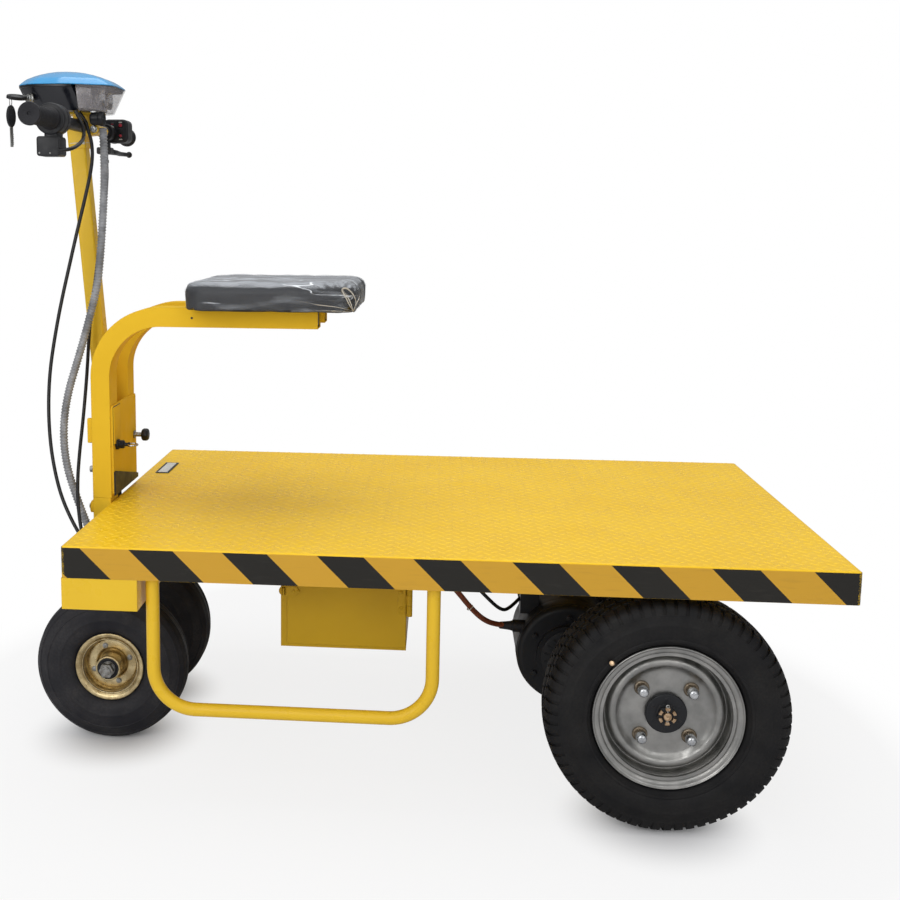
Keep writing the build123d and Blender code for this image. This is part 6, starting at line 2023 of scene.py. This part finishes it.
@dataclass
class Wiring:
    """The free lines of the cart, each on one smooth spline through its route's points."""

    entry_x: float = -542.5
    bar_x: float = -602.5
    rib_pitch: float = 5.6  # real ribs are 3 mm apart, coarsened so that they show

    def build(self) -> None:
        """Build every line, then the ties, glands and sleeves at their ends."""
        for lead in self.routes():
            self.lay(lead)
        self.entries()
        self.ties()

    def routes(self) -> tuple[Lead, ...]:
        """Give the lines' table."""
        entry, bar = self.entry_x, self.bar_x
        return (
            Lead(
                "wiring_conduit", 14.0, CONDUIT_GREY, Stuff.CORRUGATED,
                (
                    (-559.5, -28, 1136), (-559, -28, 1110), (-557, -33, 1078), (-556, -38, 1040),
                    (-557, -44, 996), (-559, -50, 950), (-562, -55, 900), (-567, -58, 852), (-579, -60, 804),
                    (-593, -64, 752), (-607, -70, 703), (-621, -78, 654), (-628, -87, 604), (-627, -96, 556),
                    (-618, -105, 510), (-602, -113, 468), (-588, -119, 434), (-574, -123, 402), (-560, -123, 379),
                    (entry, -123, 379)
                )
            ),
            Lead(
                "brake_cable_right", 6.5, CABLE_BLACK, Stuff.PLAIN,
                (
                    (-599, -42, 1163.1), (-588, -42, 1150), (-584, -40, 1132), (-577, -40, 1108),
                    (-576, -44, 1072), (-587, -50, 1018), (-602, -58, 954), (-617, -68, 884), (-631, -77, 818),
                    (-642, -86, 754), (-650, -95, 692), (-651, -106, 628), (-645, -119, 564), (-634, -130, 512),
                    (-620, -141, 470), (-602, -152, 436), (-583, -160, 406), (-564, -164, 379), (entry, -164, 379)
                )
            ),
            Lead(
                "brake_cable_left", 6.5, CABLE_BLACK, Stuff.PLAIN,
                (
                    (bar - 2, 150, 1097), (bar - 2, 150, 1080), (-600, 136, 1058), (-590, 96, 1038),
                    (-579, 52, 1020), (-571, 10, 994), (-570, -16, 955), (-574, -27, 902), (-581, -29, 850),
                    (-589, -30, 800), (-594, -32, 748), (-596, -38, 696), (-598, -48, 646), (-599, -66, 592),
                    (-598, -94, 540), (-591, -134, 490), (-579, -168, 444), (-566, -190, 406), (-560, -196, 379),
                    (entry, -196, 379)
                )
            ),
            Lead(
                "throttle_wire", 6.5, CABLE_BLACK, Stuff.PLAIN,
                (
                    (bar + 16.5, -205, 1087), (-573, -205, 1087), (-562, -192, 1092), (-560, -160, 1103),
                    (-566, -126, 1114), (-575, -96, 1126), (-583, -78, 1140), (-592, -71, 1153),
                    (-597.5, -70, 1163.7)
                ),
                "steering"
            ),
            Lead(
                "motor_lead", 10.0, LEAD_BROWN, Stuff.PLAIN,
                (
                    (17.5, -150, 364), (42, -150, 364), (76, -147, 346), (105, -140, 314), (130, -130, 280),
                    (156, -110, 250), (184, -80, 232), (209, -80, 232)
                ),
                "chassis"
            ),
            Lead(
                "sensor_lead", 6.5, CABLE_BLACK, Stuff.PLAIN,
                (
                    (17.5, -120, 382), (56, -120, 382), (94, -120, 362), (126, -120, 332), (156, -119, 300),
                    (184, -112, 272), (202, -78, 262), (224, -40, 272)
                ),
                "chassis"
            )
        )

    def spline(self, points: Sequence[Sequence[float]]) -> list[Vector]:
        """Read the points of the smooth line that a route's points control.

        Args:
            points: The route's points.

        Returns:
            The line's points, in millimetres.
        """
        curve = bpy.data.curves.new("route", "CURVE")
        curve.dimensions = "3D"
        curve.resolution_u = 16
        line = curve.splines.new("NURBS")
        line.points.add(len(points) - 1)
        for target, point in zip(line.points, points):
            target.co = (*(Vector(point) * MM), 1.0)
        line.order_u = 3
        line.use_endpoint_u = True
        holder = bpy.data.objects.new("route", curve)
        bpy.context.scene.collection.objects.link(holder)
        bpy.context.view_layer.update()
        graph = bpy.context.evaluated_depsgraph_get()
        mesh = bpy.data.meshes.new_from_object(holder.evaluated_get(graph))
        read = [v.co / MM for v in mesh.vertices]
        bpy.data.objects.remove(holder)
        return read

    def resampled(self, line: list[Vector], step: float) -> list[Vector]:
        """Space a line's points evenly."""
        out = [line[0]]
        spare = 0.0
        for a, b in zip(line, line[1:]):
            length = (b - a).length
            at = step - spare
            while at < length:
                out.append(a.lerp(b, at / length))
                at += step
            spare = length - (at - step)
        out.append(line[-1])
        return out

    def lay(self, lead: Lead) -> None:
        """Args:
            lead: The line's row of the table.
        """
        line = self.spline(lead.points)
        ribbed = lead.stuff is Stuff.CORRUGATED
        path = self.resampled(line, self.rib_pitch / 4 if ribbed else 5.0)
        radius = lead.diameter / 2
        sizes = [radius + (-0.7 if k % 4 in (0, 3) else 0.6) for k in range(len(path))] if ribbed else radius
        piece = Piece().tube(path, sizes, 0, 16 if ribbed else 14)
        name = f"{lead.node}_line"
        obj = piece.make(name, lead.finish, lead.body, [lead.node], sharp=70)
        if lead.body is None:
            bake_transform(obj)

    def entries(self) -> None:
        """Set the grommets in the entry plate, the sleeves at the motor and the box, and their screws."""
        piece = Piece()
        for y, r in ((-123, 7.0), (-164, 3.25), (-196, 3.25)):
            place = stand((self.entry_x, y, 379), (-1, 0, 0), (0, 1, 0))
            piece.lathe(
                eased([(r + 0.1, 0), (r + 4, 0), (r + 3.4, 3), (r + 0.6, 4.2), (r + 0.1, 4.2)], 0.7), place, 0, 32
            )
        for y in (-203.0, -117.0):
            piece.screw(stand((self.entry_x, y, 361), (-1, 0, 0), (0, 1, 0)), 2.2, 1)
        sleeve = stand((184.5, -80, 232), (1, 0, 0), (0, 1, 0))
        piece.lathe(
            eased([(5.2, 0), (6.4, 1.2), (7.4, 12), (8.4, 20), (9.6, 24.5), (5.2, 24.5)], 1.2), sleeve, 0, 32
        )
        for i in range(6):
            rib = stand((209.5 + i * 2.6, -80, 232), (1, 0, 0), (0, 1, 0))
            piece.lathe(eased([(10.4, 0), (11.8, 0.4), (11.8, 1.3), (10.4, 1.7)], 0.3, 2), rib, 0, 32)
        for y, z, r in ((-150, 364, 5.0), (-120, 382, 3.25)):
            place = stand((17.4, y, z), (1, 0, 0), (0, 1, 0))
            piece.lathe(
                eased([(r + 0.1, 0), (r + 3.6, 0), (r + 3.0, 2.6), (r + 0.5, 3.6), (r + 0.1, 3.6)], 0.6), place,
                0, 28
            )
        piece.make("wiring_grommets", (GRIP_RUBBER, BOLT_ZINC), "chassis")

    def ties(self) -> None:
        """Bind the two motor leads with pale ties."""
        piece = Piece()
        for x, y, z, r in ((76.5, -147, 345, 5.9), (129, -130, 280.5, 5.9)):
            way = Vector((25, 8, -33)).normalized()
            place = stand((x, y, z), way, (0, 1, 0))
            ring = [place @ Vector((r * cos(a), r * sin(a), 0)) for a in angles(28)]
            piece.tube(ring, 0.9, 0, 8, ring=True)
            piece.prism(rounded_box(4, 5, 1, 2), 3.4, moved(place, r + 1.2, 0, -1.7), 0, ease=0.5)
        piece.make("lead_ties", TIE_NYLON, "chassis")


@dataclass
class Studio:
    """The pale room: a floor that keeps the shadow, soft lamps and the camera at the photo's place."""

    camera_at: tuple[float, float, float] = (0.0654, -2.2007, 0.9822)
    yaw: float = -5.16
    pitch: float = 8.18
    roll: float = -0.38
    focal_px: float = 1182.19
    middle_px: tuple[float, float] = (333.31, 384.10)
    image_px: float = 900.0
    sensor: float = 36.0
    floor_half: float = 9.0
    wall_level: float = 0.24
    roof_level: float = 0.75
    contacts: tuple = ((-0.537, -0.105, 0.0), (-0.537, 0.105, 0.0), (0.4375, -0.34, 0.0), (0.4375, 0.34, 0.0))

    def build(self) -> None:
        """Build the room."""
        scene = bpy.context.scene
        scene.view_settings.view_transform = "Standard"
        self.camera()
        self.world()
        self.floor()
        self.lamp("lamp_key", (-1.2, -2.9, 1.8), (0.0, 0.0, 0.6), 2.4, 48.0)
        self.lamp("lamp_fill", (1.6, -3.0, 1.3), (0.1, 0.0, 0.6), 1.8, 16.0)
        self.lamp("lamp_roof", (0.0, 0.4, 3.3), (0.0, 0.0, 0.4), 2.6, 38.0)

    def camera(self) -> None:
        """Stand the camera where the photo was taken from."""
        yaw, pitch, roll = (radians(a) for a in (self.yaw, self.pitch, self.roll))
        ahead = Vector((sin(yaw) * cos(pitch), cos(yaw) * cos(pitch), -sin(pitch)))
        right = Vector((cos(yaw), -sin(yaw), 0))
        down = ahead.cross(right)
        right, down = right * cos(roll) + down * sin(roll), down * cos(roll) - right * sin(roll)
        data = bpy.data.cameras.new("photo_camera")
        data.sensor_width = self.sensor
        data.lens = self.focal_px / self.image_px * self.sensor
        data.shift_x = (self.image_px / 2 - self.middle_px[0]) / self.image_px
        data.shift_y = (self.middle_px[1] - self.image_px / 2) / self.image_px
        camera = bpy.data.objects.new("photo_camera", data)
        place = Matrix((right, -down, -ahead)).transposed().to_4x4()
        place.translation = Vector(self.camera_at)
        camera.matrix_world = place
        bpy.context.scene.collection.objects.link(camera)
        bpy.context.scene.camera = camera

    def seen_by(self, tree: Tree, *rays: str) -> Socket:
        """Give 1 for the named kinds of ray."""
        path = add_node(tree, "ShaderNodeLightPath")
        found = path.outputs[rays[0]]
        for ray in rays[1:]:
            found = add_node(
                tree, "ShaderNodeMath", {0: found, 1: path.outputs[ray]}, operation="MAXIMUM"
            ).outputs["Value"]
        return found

    def world(self) -> None:
        """Light the room softly from above, with dimmer walls, and show it white to the camera."""
        world = bpy.data.worlds.new("studio")
        world.use_nodes = True
        tree = world.node_tree
        tree.nodes.clear()
        way = add_node(tree, "ShaderNodeTexCoord").outputs["Generated"]
        rise = add_node(tree, "ShaderNodeSeparateXYZ", {0: way}).outputs["Z"]
        level = add_node(
            tree, "ShaderNodeMapRange",
            {
                "Value": rise, "From Min": 0.0, "From Max": 0.85, "To Min": self.wall_level,
                "To Max": self.roof_level
            }
        )
        soft = add_node(
            tree, "ShaderNodeBackground", {"Color": (1, 1, 1, 1), "Strength": level.outputs["Result"]}
        )
        white = add_node(tree, "ShaderNodeBackground", {"Color": (1, 1, 1, 1), "Strength": 1.0})
        seen = self.seen_by(tree, "Is Camera Ray", "Is Transmission Ray")
        mix = add_node(
            tree, "ShaderNodeMixShader", {0: seen, 1: soft.outputs["Background"], 2: white.outputs["Background"]}
        )
        add_node(tree, "ShaderNodeOutputWorld", {"Surface": mix.outputs["Shader"]})
        bpy.context.scene.world = world

    def floor(self) -> None:
        """Lay the floor with a painted shadow: it glows white to the camera, and a mask lets its rendered shade
        through, most round the tyres' contacts, a little under the deck and none further off.
        """
        half = self.floor_half
        mesh = bpy.data.meshes.new("studio_floor")
        mesh.from_pydata(
            [(-half, -half, 0), (half, -half, 0), (half, half, 0), (-half, half, 0)], [], [(0, 1, 2, 3)]
        )
        floor = bpy.data.objects.new("studio_floor", mesh)
        bpy.context.scene.collection.objects.link(floor)
        material = bpy.data.materials.new("studio_floor_painted")
        material.use_nodes = True
        tree = material.node_tree
        shader = tree.nodes["Principled BSDF"]
        shader.inputs["Base Color"].default_value = linear("#d6d6d8")
        shader.inputs["Roughness"].default_value = 0.9
        shader.inputs["Specular IOR Level"].default_value = 0.1
        where = add_node(tree, "ShaderNodeTexCoord").outputs["Object"]
        # Painted shadow: the glow is held back round each tyre's contact
        nearest = None
        for contact in self.contacts:
            gap = add_node(
                tree, "ShaderNodeVectorMath", {0: where, 1: contact}, operation="DISTANCE"
            ).outputs["Value"]
            if nearest is not None:
                gap = add_node(tree, "ShaderNodeMath", {0: nearest, 1: gap}, operation="MINIMUM").outputs["Value"]
            nearest = gap
        away = add_node(tree, "ShaderNodeVectorMath", {0: where}, operation="LENGTH").outputs["Value"]
        shares = []
        for value, start, end, low, high in ((nearest, 0.02, 0.18, 0.0, 0.82), (away, 0.5, 1.05, 0.0, 1.0)):
            spread = {"Value": value, "From Min": start, "From Max": end, "To Min": low, "To Max": high}
            shares.append(
                add_node(tree, "ShaderNodeMapRange", spread, interpolation_type="SMOOTHSTEP").outputs["Result"]
            )
        # Share of painted glow that hides the floor's shade
        pale = add_node(
            tree, "ShaderNodeMath", {0: shares[0], 1: shares[1]}, operation="MAXIMUM"
        ).outputs["Value"]
        seen = self.seen_by(tree, "Is Camera Ray", "Is Transmission Ray")
        share = add_node(tree, "ShaderNodeMath", {0: pale, 1: seen}, operation="MULTIPLY").outputs["Value"]
        white = add_node(tree, "ShaderNodeEmission", {"Color": (1, 1, 1, 1), "Strength": 1.0})
        mix = add_node(
            tree, "ShaderNodeMixShader", {0: share, 1: shader.outputs["BSDF"], 2: white.outputs["Emission"]}
        )
        tree.links.new(mix.outputs["Shader"], tree.nodes["Material Output"].inputs["Surface"])
        mesh.materials.append(material)

    def lamp(
        self, name: str, at: tuple[float, float, float], to: tuple[float, float, float], size: float, power: float
    ) -> None:
        """Hang a soft square lamp.

        Args:
            name: The lamp's name.
            at: Where it hangs, in metres.
            to: What it points at.
            size: Its side, in metres.
            power: Its power, in watts.
        """
        data = bpy.data.lights.new(name, "AREA")
        data.size = size
        data.energy = power
        lamp = bpy.data.objects.new(name, data)
        away = Vector(at) - Vector(to)
        place = stand((0, 0, 0), away, (1, 0.01, 0))
        place.translation = Vector(at)
        lamp.matrix_world = place
        bpy.context.scene.collection.objects.link(lamp)


def main() -> None:
    """Build the room and the cart."""
    logging.basicConfig(level=logging.INFO, format="%(message)s")
    Studio().build()
    Wiring().build()
    Deck().build()
    FootRails().build()
    BatteryBay().build()
    for side in Side:
        SteerWheel(side).build()
        DriveWheel(side).build()
    DriveTrain().build()
    SeatMast().build()
    Cushion().build()
    Handlebar().build()
    Console().build()


if __name__ == "__main__":
    main()
